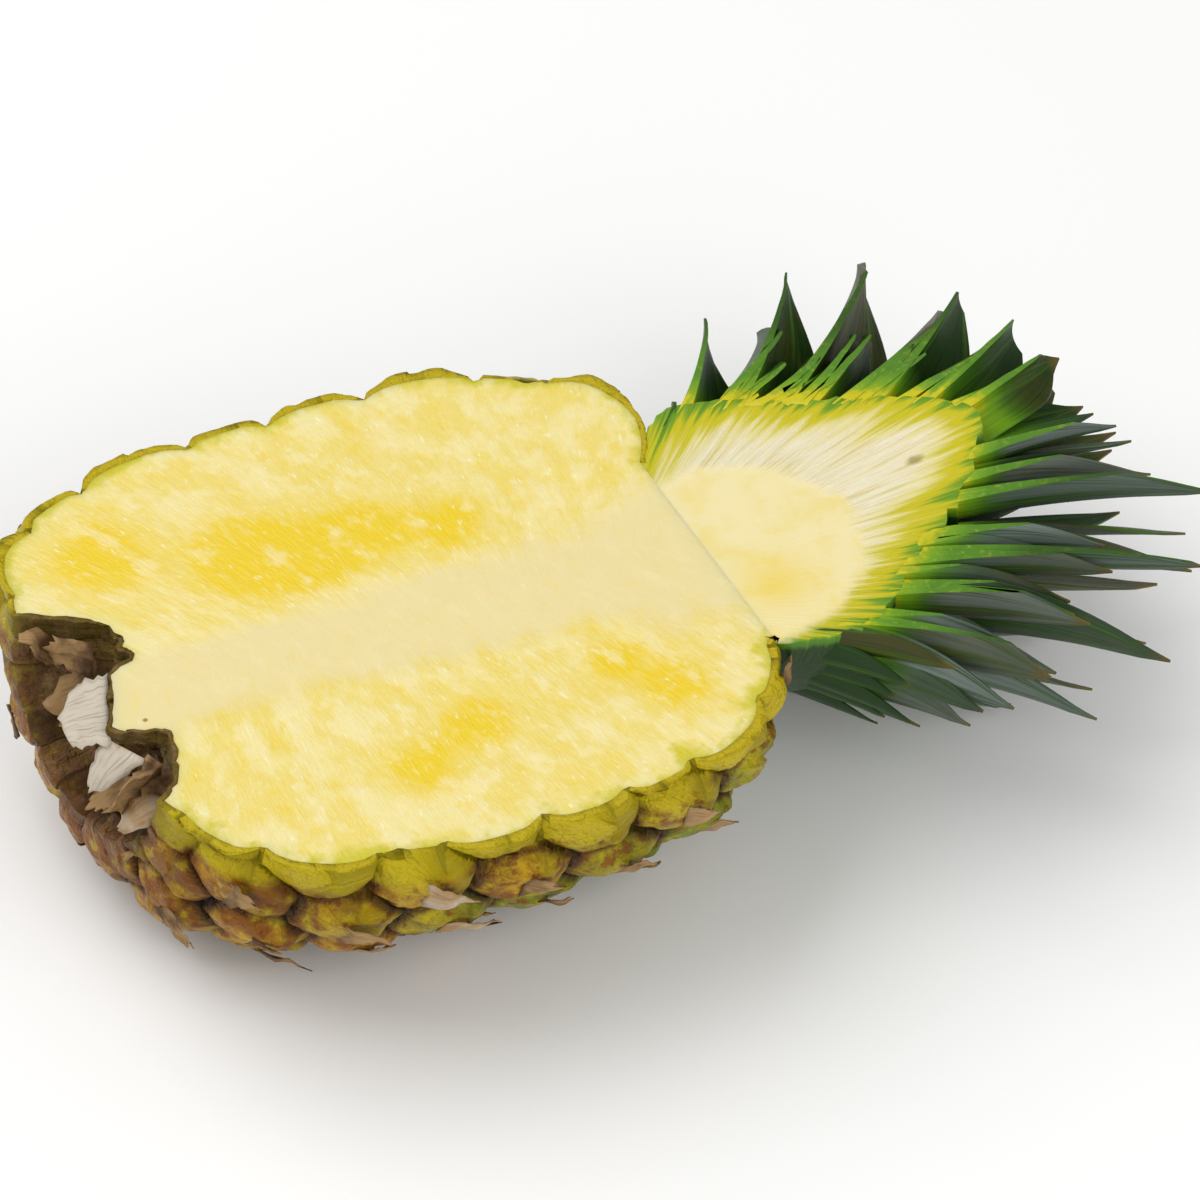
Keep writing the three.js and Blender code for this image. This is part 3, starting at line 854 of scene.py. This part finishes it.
def floor_material():
    """Matt white board, which only takes the soft shadow."""
    return new_material("Matt white board", roughness=0.9, base_color=linear("FEFEFD"))[0]


STEM_OUTLINE = ((0, 26), (9, 29), (24, 26.5), (40, 17), (52, 8), (58, 1.5))
ROOT_ANGLE = (44, 8)  # degrees from the crown's axis, lowest and highest leaf
SIDE_ANGLE = (78, 28)  # tips that stand out sideways
UNDER_ANGLE = (2, 0)  # tips that the surface presses up
SHOULDER_PRESS = 6  # low leaves pushed up where the crown leans over the fruit
HEART_OUTLINE = (  # packed leaf roots in mm: along the crown's axis, middle's offset to the far side, radius
    (-7, -0.5, 0),
    (-7, -0.5, 24.5),
    (0, 0.3, 30.0),
    (6, 1.5, 33.5),
    (12, 2.6, 34.6),
    (18, 3, 32.6),
    (25, 3, 28.4),
    (32, 2.8, 24),
    (39, 2, 20),
    (46, 2.4, 15.4),
    (52, 3.2, 11.2),
    (57, 3.6, 6.5),
    (60, 3.6, 3),
    (61, 3.6, 0),
)


def crown_axes(crown):
    """The crown's root and its turn in the part's frame."""
    root_x = crown.root_x - bpy.context.scene.pineapple_fruit.rest_x
    return np.array([root_x, crown.root_y, CUT_HEIGHT]), np.array(Matrix.Rotation(crown.lean, 3, "Z"))


def crown_to_part(crown, points):
    root, turn = crown_axes(crown)
    return points @ turn.T + root


def part_to_crown(crown, points):
    root, turn = crown_axes(crown)
    return (points - root) @ turn


def heart_reach(points):
    """How far points on the crown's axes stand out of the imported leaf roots, in mm, negative inside."""
    along, offset, radius = np.array(HEART_OUTLINE[1:], float).T
    a, y, z = points.T / MM
    out = np.hypot(y - np.interp(a, along, offset), z) - np.interp(a, along, radius)
    return np.maximum(out, a - along[-1])


def leaf_course(crown, height, azimuth, t):
    """Where a leaf runs, as distance along the crown's axis and radius from it."""
    place_on_stem = mix(crown.first, crown.last, height)
    root = spline(STEM_OUTLINE, np.array([place_on_stem]))[0] * MM
    ahead, behind = (spline(STEM_OUTLINE, np.array([place_on_stem + s * 1e-4]))[0] for s in (1, -1))
    tangent = unit(ahead - behind)
    root = root + np.array([-tangent[1], tangent[0]]) * (crown.gap + 0.6 * MM)
    pressed = SHOULDER_PRESS * np.maximum(0, np.cos(azimuth)) * (1 - height) ** 2
    down = np.maximum(0, -np.sin(azimuth)) ** 2
    root_angle = np.radians(mix(*ROOT_ANGLE, height) - pressed)
    side_angle = np.radians(mix(*SIDE_ANGLE, height) - pressed)
    tip_angle = mix(side_angle, np.radians(mix(*UNDER_ANGLE, height)), down)
    bend = (tip_angle - root_angle) / crown.bend_length + 1e-6 / MM
    along = root[0] + (np.sin(root_angle + bend * t) - np.sin(root_angle)) / bend
    radius = root[1] + (np.cos(root_angle) - np.cos(root_angle + bend * t)) / bend
    return along, radius


def far_side(leaf):
    """1 for a leaf on the far side of the crown, 0 for one on the near side."""
    return smooth(-0.1, 0.5, math.cos(leaf["azimuth"]))


def leaf_points(crown, leaf, run, side):
    """Points of a leaf's middle surface: share of its length, and side from -1 to 1 across it."""
    t = run * leaf["length"]
    _, radius = leaf_course(crown, leaf["height"], np.full_like(t, leaf["azimuth"]), t)
    wrap = np.maximum(6 * MM, radius)
    far = far_side(leaf)
    fullness = leaf.get("fullness", mix(crown.fullness, crown.far_fullness, far))
    half_width = fullness * leaf["width"] / 2 * np.maximum(0.02, 1 - np.abs(run) ** crown.taper)
    azimuth = leaf["azimuth"] + side * half_width / wrap
    along, radius = leaf_course(crown, leaf["height"], azimuth, t)
    channel = leaf.get("gutter", mix(crown.gutter, crown.far_gutter, far))
    bow = np.sin(np.pi * np.clip(run + 0.1, 0, 1)) * math.sqrt(0.5)
    curl = channel * leaf["width"] / crown.width * side**2 * bow
    inner = radius - curl
    return np.stack([along + curl, inner * np.cos(azimuth), inner * np.sin(azimuth)], -1)


ODD_LEAVES = {  # leaves by their place on the spiral that are broader than the rest or have lost their tips
    5: {"end": 0.92},
    52: {"end": 0.92},
    60: {"fullness": 1.8, "end": 0.86},
    65: {"fullness": 1.8, "end": 0.86},
    73: {"fullness": 2.0, "end": 0.85},
    78: {"fullness": 1.6, "end": 0.9},
    77: {"fullness": 1.5, "tone": 1.0},
    72: {"fullness": 1.5, "tone": 0.95},
}
LEAF_COLUMNS = 8
LEAF_ROWS = 22
LEAF_SINK = 0.16  # share of a leaf's length that its root is sunk in the heart


def model_leaf(crown, leaf, name):
    """A blade on a grid, given a second wall, then cut flat where the knife went."""
    piece, u, v = new_grid(name, LEAF_COLUMNS, LEAF_ROWS)
    run = mix(-LEAF_SINK, leaf.get("end", 1.0), v)
    side = 2 * u - 1
    probe = 0.01
    lengthwise = leaf_points(crown, leaf, run + probe, side) - leaf_points(crown, leaf, run - probe, side)
    across = leaf_points(crown, leaf, run, side + probe) - leaf_points(crown, leaf, run, side - probe)
    normal = unit(np.cross(lengthwise, across))
    body = np.clip(1 - run, 0, 1) ** 1.5 * (1 - side**2) ** 0.5
    half = mix(crown.edge, crown.thickness, body)[:, None] / 2
    middle = leaf_points(crown, leaf, run, side)
    apply_solidify(piece, crown.edge, 0)
    walls = np.concatenate([middle - normal * half, middle + normal * half])
    place(piece, crown_to_part(crown, walls))
    # Leaves on the far side keep their pale yellow-green roots further up the blade, which lightens them:
    # painted light, for the light on their upper faces.
    lit_far_side = 2.5 * far_side(leaf)
    store(piece, "reach", heart_reach(walls) + leaf.get("older", 0.0) - lit_far_side)
    store(piece, "tone", np.full(len(walls), leaf["tone"]))
    store(piece, "run", np.tile(np.clip(run, 0, 1), 2))
    # Only the near leaves take the grey scurf, each at a random share: partly real scurf, partly painted
    # sheen.
    wax_and_sheen = leaf.get("wax_and_sheen_share", float(smooth(0.2, -0.5, math.cos(leaf["azimuth"])) * chance(leaf["tone"] * 91)))
    store(piece, "under", np.repeat([wax_and_sheen, 0.0], len(run)))
    store_uv(piece, "blade", np.tile(side * leaf["width"] / 2, 2), np.tile(run * leaf["length"], 2))
    face_outwards(piece)
    cut_flat(piece, CUT_HEIGHT)
    points = coordinates(piece)
    dive = smooth(-1.5, -5.0, heart_reach(part_to_crown(crown, points)))
    points[:, 2] -= 0.4 * MM * dive * (points[:, 2] > CUT_HEIGHT - 0.01 * MM)
    place(piece, points)
    return piece


def leaf_list(crown):
    """Every leaf of the whole crown on its spiral, with seeded lengths and widths."""
    state = 7
    draws = []
    for _ in range(2 * crown.leaves):
        state = (state * 1664525 + 1013904223) % 4294967296
        draws.append(1 + crown.variation * (2 * state / 4294967296 - 1))
    leaves = []
    for i in range(crown.leaves):
        order = (i + 0.5) / crown.leaves
        height = order * (1 - 0.1 * (1 - order))
        size = mix(crown.shortest, 1, math.sin(math.pi * height**0.8))
        leaves.append(
            {
                "height": height,
                "azimuth": crown.phase + i * GOLDEN_ANGLE,
                "length": crown.longest * size * draws[2 * i],
                "width": crown.width * (1 - crown.narrowing * height) * draws[2 * i + 1],
                "tone": float(chance(i)),
            }
        )
    return leaves


def find_solid(crown, leaf, solids):
    """The solid whose box has the same middle as the plain leaf's below the cut, or none."""
    run, side = (grid.ravel() for grid in np.meshgrid(np.linspace(0, 1, 23), np.linspace(-1, 1, 9)))
    plain = {**leaf, "fullness": 1.0, "gutter": 0.6 * MM}
    points = crown_to_part(crown, leaf_points(crown, plain, run, side))
    points = points[points[:, 2] < CUT_HEIGHT]
    if not len(points) or not solids:
        return None
    middle = Vector((points.min(0) + points.max(0)) / 2)
    node = min(solids, key=lambda name: (solids[name] - middle).length)
    return node if (solids[node] - middle).length < 4 * MM else None


FLAP_COLUMNS = 8
FLAP_ROWS = 10
STALK_RING = 6  # bracts in the ring round the stalk


def flap_points(u, v, root, run, side, lift, point, ragged, seed):
    """A torn flap: from its root out along run, half as wide as side both ways, arched by lift."""
    across = 2 * u - 1
    edges = ripple(np.stack([np.sign(across) + seed, 5 * v, 0 * v], -1), 1.0)
    tip = ripple(np.stack([2.2 * across, 0 * v + seed, 0 * v + 3], -1), 1.0) - 0.5 * across**2
    width = across * (1 - point * v**1.7) * (1 + ragged * edges * np.abs(across))
    reach = v * (1 + ragged * tip * v)
    arch = 4 * v * (1 - 0.6 * v) * (1 - 0.35 * across**2)
    points = np.array(root) + np.outer(reach, run) + np.outer(width, side) + np.outer(arch, lift)
    points = points * MM
    crumple = ripple(points, 4 * MM, seed) * 1.3 + ripple(points, 1.6 * MM, seed) * 0.4
    return points + np.outer(crumple * MM * np.clip(2 * v, 0, 1), unit(np.cross(run, side)))


def model_flaps(name, flaps, thickness):
    """Torn flaps, the first modelled on a grid and the others copied from it, joined in one piece."""
    pattern, u, v = new_grid(name, FLAP_COLUMNS, FLAP_ROWS)
    pieces = []
    for flap in flaps:
        piece = pattern.copy()
        piece.data = pattern.data.copy()
        bpy.context.collection.objects.link(piece)
        pale = flap.pop("pale")
        sheet = flap_points(u, v, **flap)
        sheet[:, 2] = np.clip(sheet[:, 2], 0.4 * MM, CUT_HEIGHT - 0.2 * MM)
        place(piece, sheet)
        store(piece, "run", v)
        store(piece, "pale", np.full(len(v), pale))
        breadth, reach = np.linalg.norm(flap["side"]), np.linalg.norm(flap["run"])
        store_uv(piece, "flap", (2 * u - 1) * breadth * MM, v * reach * MM)
        pieces.append(piece)
    bpy.data.objects.remove(pattern)
    piece = join(pieces, name)
    apply_solidify(piece, thickness, 0)
    return piece


STALK_FLAPS = (  # torn bracts round the stalk in mm: root, run, side, lift, how pointed, how ragged, how pale
    ((-67.5, -0.6, 49.6), (-8.5, -0.6, -1.2), (2.6, 8.5, 0.3), (-0.6, 0, 0.9), 0.25, 0.3, 0.95),
    ((-68.0, -11.0, 48.9), (-5.4, -2.0, -6.5), (-2.6, 3.4, 0.5), (-1.6, -0.6, 0.8), 0.6, 0.25, 0.9),
    ((-63.5, -24.0, 45.5), (-9.8, 2.2, -7.0), (-3.6, 4.4, 0.0), (-0.6, -0.8, 1.8), 0.7, 0.25, 0.6),
    ((-65.5, 15.0, 47.5), (-8.0, 6.5, 1.0), (0.5, 0.5, 4.5), (0.5, -0.8, 0), 0.45, 0.3, 0.25),
    ((-69.5, 23.0, 45.0), (-6.5, -1.0, 5.0), (2.0, 5.0, 0.5), (-0.8, 0, 0.5), 0.6, 0.3, 0.3),
    ((-62.0, -17.5, 47.5), (-7.0, -3.0, -1.5), (-2.5, 4.0, 1.0), (0, -0.5, -0.8), 0.4, 0.35, 0.3),
    ((-60.5, -26.0, 48.5), (-6.0, -1.0, -2.5), (-1.0, 4.0, 1.5), (0, 0, -0.8), 0.5, 0.35, 0.2),
)


class PINEAPPLE_OT_stalk_bracts(bpy.types.Operator):
    """Models the dry, torn bracts round the broken stalk"""

    bl_idname = "pineapple.stalk_bracts"
    bl_label = "Stalk bracts"

    def execute(self, context):
        names = ("root", "run", "side", "lift", "point", "ragged", "pale")
        flaps = [dict(zip(names, flap), seed=7.3 * i) for i, flap in enumerate(STALK_FLAPS)]
        for i in range(STALK_RING):
            turn = math.pi * (1 + (i + 0.5) / STALK_RING)
            flare = math.radians(40 if i % 2 else 22)
            radius = 22.5 if i % 2 else 18.5
            out = np.array([0, math.cos(turn), math.sin(turn)])
            flaps.append(
                {
                    "root": np.array([-63.6, 0, 51]) + out * radius,
                    "run": 11.5 * (np.array([-math.cos(flare), 0, 0]) + out * math.sin(flare)),
                    "side": 7.8 * np.array([0, -math.sin(turn), math.cos(turn)]),
                    "lift": -0.8 * out,
                    "point": 0.6,
                    "ragged": 0.3,
                    "pale": 0.2 + 0.3 * float(chance(i)),
                    "seed": 60 + 5.1 * i,
                }
            )
        piece = model_flaps("stalk_bracts", flaps, 0.3 * MM)
        finish_piece(piece, [paper_material(context.scene.pineapple_finish)])
        return {"FINISHED"}


class PINEAPPLE_OT_eye_bracts(bpy.types.Operator):
    """Models the papery point that curls off each eye"""

    bl_idname = "pineapple.eye_bracts"
    bl_label = "Eye bracts"

    def execute(self, context):
        barrel = Barrel(context.scene.pineapple_fruit)
        fruit = barrel.fruit
        flaps = []
        for eye in range(EYE_LEFT, barrel.eyes - EYE_LEFT):
            turn = math.remainder(barrel.start + eye * GOLDEN_ANGLE, 2 * math.pi)
            distance = barrel.first + eye * fruit.eye_step
            draw = [float(chance(eye * 7 + i)) for i in range(5)]
            fade = min(eye, barrel.eyes - 1 - eye) / (EYE_LEFT + EYE_RIGHT)
            if not -math.pi + 0.1 < turn < -0.1 or draw[0] < 0.2 or fade < 0.6:
                continue
            here = np.array([distance - 1.5 * MM])
            rise = (fruit.eye_rise + 0.6 * MM) * min(fade, 1)
            root = barrel.points(np.array([turn]), here, rise)[0]
            ahead = barrel.points(np.array([turn]), here + MM, rise)[0] - root
            beside = barrel.points(np.array([turn + 0.01]), here, rise)[0] - root
            ahead, beside = unit(ahead), unit(beside)
            out = np.cross(beside, ahead)
            out *= np.sign(out @ (root - np.array([0, 0, CUT_HEIGHT])))
            size = mix(5.5, 10.5, draw[1])
            flaps.append(
                {
                    "root": root / MM,
                    "run": size * (ahead + out * mix(0.0, 0.28, draw[2]) + beside * (draw[3] - 0.5) * 0.5),
                    "side": mix(2.2, 3.8, draw[4]) * beside,
                    "lift": out * 0.6,
                    "point": 0.85,
                    "ragged": 0.35,
                    "seed": 3.7 * eye,
                    "pale": mix(0.1, 0.75, draw[3]),
                }
            )
        piece = model_flaps("eye_bracts", flaps, 0.25 * MM)
        finish_piece(piece, [paper_material(context.scene.pineapple_finish)])
        return {"FINISHED"}


ROOM_LIGHT = 0.43
LIGHTS = (  # name, place in metres, size in metres, power in watts
    ("key", (-0.5, 0.5, 1.1), 1.3, 11),
    ("fill", (0.35, -1.0, 0.75), 1.0, 7),
)
FLOOR_SIZE = 6


class PINEAPPLE_OT_stage(bpy.types.Operator):
    """Sets up the floor, the soft studio light and the camera"""

    bl_idname = "pineapple.stage"
    bl_label = "Stage"

    def execute(self, context):
        stage = context.scene.pineapple_stage
        bpy.ops.object.select_all(action="DESELECT")
        bpy.ops.mesh.primitive_plane_add(size=FLOOR_SIZE, location=(0, 0, 0))
        floor = context.object
        floor.name = "floor"
        floor.data.materials.append(floor_material())
        world = bpy.data.worlds.new("soft white room")
        world.use_nodes = True
        sky = world.node_tree.nodes["Background"]
        sky.inputs["Color"].default_value = (1, 1, 1, 1)
        sky.inputs["Strength"].default_value = ROOM_LIGHT
        context.scene.world = world
        target = Vector(stage.target)
        for name, place_at, size, power in LIGHTS:
            bpy.ops.object.light_add(type="AREA", location=place_at)
            light = context.object
            light.name = name
            light.data.size = size
            light.data.energy = power
            light.rotation_euler = (target - Vector(place_at)).to_track_quat("-Z", "Y").to_euler()
        back = Vector(
            (
                math.sin(stage.azimuth) * math.cos(stage.elevation),
                -math.cos(stage.azimuth) * math.cos(stage.elevation),
                math.sin(stage.elevation),
            )
        )
        level = Vector((math.cos(stage.azimuth), math.sin(stage.azimuth), 0))
        over = level.cross(-back)
        right = level * math.cos(stage.roll) + over * math.sin(stage.roll)
        up = over * math.cos(stage.roll) - level * math.sin(stage.roll)
        bpy.ops.object.camera_add()
        camera = context.object
        camera.matrix_world = Matrix.Translation(target + back * stage.distance) @ Matrix(
            (right, up, back)
        ).transposed().to_4x4()
        camera.data.sensor_width = 36
        camera.data.lens = stage.lens
        camera.data.clip_end = 20
        context.scene.camera = camera
        context.scene.view_settings.view_transform = "Standard"
        return {"FINISHED"}


class PINEAPPLE_OT_rind(bpy.types.Operator):
    """Models the rind with its eyes, from the broken stalk to the crown's socket"""

    bl_idname = "pineapple.rind"
    bl_label = "Rind"

    def execute(self, context):
        barrel = Barrel(context.scene.pineapple_fruit)
        colours = context.scene.pineapple_finish
        piece, u, v = new_grid("fruit_rind", SKIN_COLUMNS, SKIN_ROWS)
        outer, inner, marks = skin_walls(barrel, u, v)
        place(piece, inner)
        apply_solidify(piece, barrel.fruit.skin, 1)
        place(piece, np.concatenate([inner, outer]))
        for name, values in marks.items():
            store(piece, name, np.tile(values, 2))
        store(piece, "rim", np.repeat([barrel.fruit.skin / MM, 0.0], len(inner)))
        merge_poles(piece)
        finish_piece(
            piece,
            [rind_material(colours), flesh_material(colours)],
            second=flat_faces(piece, CUT_HEIGHT),
        )
        return {"FINISHED"}


RIPE_PATCHES = (  # golden patches on the cut face: x, y, radius in millimetres
    (-32, 26, 13),
    (-8, 24, 11),
    (-56, 36, 13),
    (32, -37, 8),
    (-22, 22, 12),
    (8, 20, 9),
    (-6, -32, 9),
    (24, -27, 7),
    (-20, -38, 8),
)


FLESH_DEPTH = 42 * MM
FLESH_FOOT = 0.54  # size of the flesh's underside against its cut face
STALK_CLEARANCE = -18 * MM  # the underside ends here, short of the hollow


class PINEAPPLE_OT_flesh(bpy.types.Operator):
    """Models the flesh with its flat cut face"""

    bl_idname = "pineapple.flesh"
    bl_label = "Flesh"

    def execute(self, context):
        fruit = context.scene.pineapple_fruit
        far, near = cut_outline(Barrel(fruit))
        outline = np.concatenate([far, near[::-1]])
        bpy.ops.object.select_all(action="DESELECT")
        bpy.ops.mesh.primitive_circle_add(vertices=len(outline), radius=0.01, fill_type="NGON")
        piece = context.object
        piece.name = piece.data.name = "fruit_flesh"
        start = coordinates(piece)
        turn = np.arctan2(start[:, 1], start[:, 0]) % (2 * math.pi)
        order = np.argsort(turn)
        placed = np.empty_like(outline)
        placed[order] = outline[::-1]
        place(piece, placed)
        slice_into_cells(piece, fruit.cell)
        top = coordinates(piece)
        apply_solidify(piece, FLESH_DEPTH, -1)
        middle = top.mean(0)
        bottom = mix(middle, top, FLESH_FOOT)
        bottom[:, 0] = np.maximum(bottom[:, 0], STALK_CLEARANCE)
        bottom[:, 2] = CUT_HEIGHT - FLESH_DEPTH
        place(piece, np.concatenate([top, bottom]))
        face_outwards(piece)
        x, y = top[:, 0] / MM, top[:, 1] / MM
        lean, fan = np.where(y > 0, -0.2, 0.25), np.where(y > 0, 0.009, 0.0055)
        across = np.abs(y)
        fibre = (x - lean * across) / (1 + fan * across) * MM
        store_uv(piece, "fibre", np.tile(fibre, 2), np.tile(y * MM, 2))
        edge = np.concatenate([near[::-1], far])
        broader = mix(1.0, 0.62, smooth(10, -10, y))
        store(piece, "rim", np.tile(distance_to(top, edge) / MM * broader + fruit.skin / MM, 2))
        axis = mix(-1.0, -4.0, smooth(-60, 60, x))
        half = mix(11.0, 13.0, smooth(-20, 20, x)) + 14 * smooth(25, 58, x)
        store(piece, "core", np.tile(smooth(1.5, 0.4, np.abs(y - axis) / half), 2))
        ripe = sum(
            np.exp(-((x - patch_x) ** 2 + (y - patch_y) ** 2) / (2 * (radius * 0.6) ** 2))
            for patch_x, patch_y, radius in RIPE_PATCHES
        )
        store(piece, "ripe", np.tile(ripe, 2))
        store(piece, "stalk", np.tile(smooth(-48, -56, x) * smooth(34, 27, across), 2))
        finish_piece(piece, [flesh_material(context.scene.pineapple_finish)], ["fruit_half"], 40)
        return {"FINISHED"}


HEART_COLUMNS = 40
HEART_ROWS = 52
HEART_CELL = 1.5 * MM
LANE_ORIGIN = 30  # mm behind the crown's root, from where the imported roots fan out
LANE_RADIUS = 60 * MM


class PINEAPPLE_OT_heart(bpy.types.Operator):
    """Models the crown's stem with the leaf roots packed round it"""

    bl_idname = "pineapple.heart"
    bl_label = "Crown heart"

    def execute(self, context):
        crown = context.scene.pineapple_crown
        piece, u, v = new_grid("crown_heart", HEART_COLUMNS, HEART_ROWS)
        along, offset, radius = spline(HEART_OUTLINE, v).T * MM
        turn = -math.pi * (1 - u)
        jags = ripple(np.stack([along, 9 * MM * turn, 0 * along], -1), 2.6 * MM, 2)
        jags = 2.6 * MM * jags * smooth(0, 8 * MM, along) * smooth(0, 6 * MM, radius)
        radius = np.maximum(radius + jags, 0)
        body = np.stack([along, offset + radius * np.cos(turn), radius * np.sin(turn)], -1)
        body[(u < 1e-6) | (u > 1 - 1e-6), 2] = 0
        place(piece, crown_to_part(crown, body) - np.array([0, 0, 0.05 * MM]))
        merge_poles(piece)
        edit(piece)
        bpy.ops.mesh.select_all(action="DESELECT")
        bpy.ops.mesh.select_mode(type="EDGE")
        bpy.ops.mesh.select_non_manifold()
        bpy.ops.mesh.edge_face_add()
        bpy.ops.mesh.select_mode(type="VERT")
        bpy.ops.object.mode_set(mode="OBJECT")
        face_outwards(piece)
        slice_into_cells(piece, HEART_CELL)
        local = part_to_crown(crown, coordinates(piece))
        a, r = local[:, 0] / MM, local[:, 1] / MM
        fan = a + LANE_ORIGIN
        store_uv(piece, "lane", np.arctan2(r, fan) * LANE_RADIUS, np.hypot(r, fan) * MM)
        store(piece, "reach", heart_reach(local) + 24 * smooth(-0.6 * MM, -4 * MM, local[:, 2]))
        top = local[:, 2] > -0.5 * MM
        store(piece, "dome", top * np.clip(1.5 - np.hypot(a / 24.5, (r + 3) / 24), 0, 1))
        store(piece, "ripe", top * 0.6 * np.exp(-((a - 3) ** 2 + (r + 14) ** 2) / (2 * 5**2)))
        material = heart_material(context.scene.pineapple_finish)
        finish_piece(piece, [material], ["crown_stem"], 40)
        return {"FINISHED"}


class PINEAPPLE_OT_leaves(bpy.types.Operator):
    """Models the crown's leaves, each in the place of its solid"""

    bl_idname = "pineapple.leaves"
    bl_label = "Crown leaves"

    def execute(self, context):
        crown = context.scene.pineapple_crown
        colours = context.scene.pineapple_finish
        materials = [leaf_material(colours), cut_leaf_material(colours)]
        solids = {n: sum(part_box(n), Vector()) / 2 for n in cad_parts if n.startswith("leaf_")}
        for i, leaf in enumerate(leaf_list(crown)):
            node = find_solid(crown, leaf, solids)
            if node is None:
                continue
            del solids[node]
            piece = model_leaf(crown, {**leaf, **ODD_LEAVES.get(i, {})}, f"blade_{i + 1:02d}")
            finish_piece(piece, materials, [node], 50, flat_faces(piece, CUT_HEIGHT))
        if solids:
            raise RuntimeError(f"no blade was modelled for {sorted(solids)}")
        return {"FINISHED"}


NECK_LEAVES = 22
SHORT_LEAVES = 25


class PINEAPPLE_OT_short_leaves(bpy.types.Operator):
    """Models the short leaves at the crown's neck and between the long ones"""

    bl_idname = "pineapple.short_leaves"
    bl_label = "Short leaves"

    def execute(self, context):
        crown = context.scene.pineapple_crown
        colours = context.scene.pineapple_finish
        pieces = []
        for i in range(NECK_LEAVES):
            draw = [float(chance(400 + 3 * i + j)) for j in range(3)]
            leaf = {
                "height": mix(-0.14, -0.01, draw[0]),
                "azimuth": -math.pi * (i + 0.2 + 0.6 * draw[1]) / NECK_LEAVES,
                "length": mix(17, 27, draw[2]) * MM,
                "width": mix(8, 12, draw[1]) * MM,
                "tone": draw[0],
                "older": 30.0,
                "wax_and_sheen_share": 0.05,
            }
            pieces.append(model_leaf(crown, leaf, "short_leaf"))
        for i in range(SHORT_LEAVES):
            draw = [float(chance(800 + 3 * i + j)) for j in range(3)]
            near = i % 5 < 3
            height = mix(0.0, 0.62, (i + draw[0]) / SHORT_LEAVES)
            leaf = {
                "height": height,
                "azimuth": mix(0.02, 0.4, draw[1]) - math.pi if near else -mix(0.15, 0.6, draw[1]),
                "length": mix(26, 40, draw[2]) * (1 - 0.2 * height) * MM,
                "width": mix(15, 21, draw[1]) * (1 - 0.5 * height) * (1 if near else 1.5) * MM,
                "tone": draw[0],
            }
            pieces.append(model_leaf(crown, leaf, "short_leaf"))
        piece = join(pieces, "short_leaves")
        materials = [leaf_material(colours), cut_leaf_material(colours)]
        finish_piece(piece, materials, (), 50, flat_faces(piece, CUT_HEIGHT))
        return {"FINISHED"}


OPERATORS = (
    PINEAPPLE_OT_stage,
    PINEAPPLE_OT_rind,
    PINEAPPLE_OT_flesh,
    PINEAPPLE_OT_stalk_bracts,
    PINEAPPLE_OT_eye_bracts,
    PINEAPPLE_OT_heart,
    PINEAPPLE_OT_leaves,
    PINEAPPLE_OT_short_leaves,
)
SETTINGS = {
    "pineapple_fruit": FruitSettings,
    "pineapple_crown": CrownSettings,
    "pineapple_finish": FinishSettings,
    "pineapple_stage": StageSettings,
}


class PINEAPPLE_PT_panel(bpy.types.Panel):
    """Lists the pieces and their settings"""

    bl_idname = "PINEAPPLE_PT_panel"
    bl_label = "Half pineapple"
    bl_space_type = "VIEW_3D"
    bl_region_type = "UI"
    bl_category = "Pineapple"

    def draw(self, context):
        for operator in OPERATORS:
            self.layout.operator(operator.bl_idname)
        for group, settings in SETTINGS.items():
            box = self.layout.box()
            for name in settings.__annotations__:
                box.prop(getattr(context.scene, group), name)


def register():
    for settings in SETTINGS.values():
        bpy.utils.register_class(settings)
    for group, settings in SETTINGS.items():
        setattr(bpy.types.Scene, group, PointerProperty(type=settings))
    for operator in OPERATORS:
        bpy.utils.register_class(operator)
    bpy.utils.register_class(PINEAPPLE_PT_panel)


def unregister():
    bpy.utils.unregister_class(PINEAPPLE_PT_panel)
    for operator in reversed(OPERATORS):
        bpy.utils.unregister_class(operator)
    for group, settings in SETTINGS.items():
        delattr(bpy.types.Scene, group)
        bpy.utils.unregister_class(settings)


def main():
    register()
    bpy.ops.pineapple.stage()
    bpy.ops.pineapple.rind()
    bpy.ops.pineapple.flesh()
    bpy.ops.pineapple.stalk_bracts()
    bpy.ops.pineapple.eye_bracts()
    bpy.ops.pineapple.heart()
    bpy.ops.pineapple.leaves()
    bpy.ops.pineapple.short_leaves()


if __name__ == "__main__":
    main()
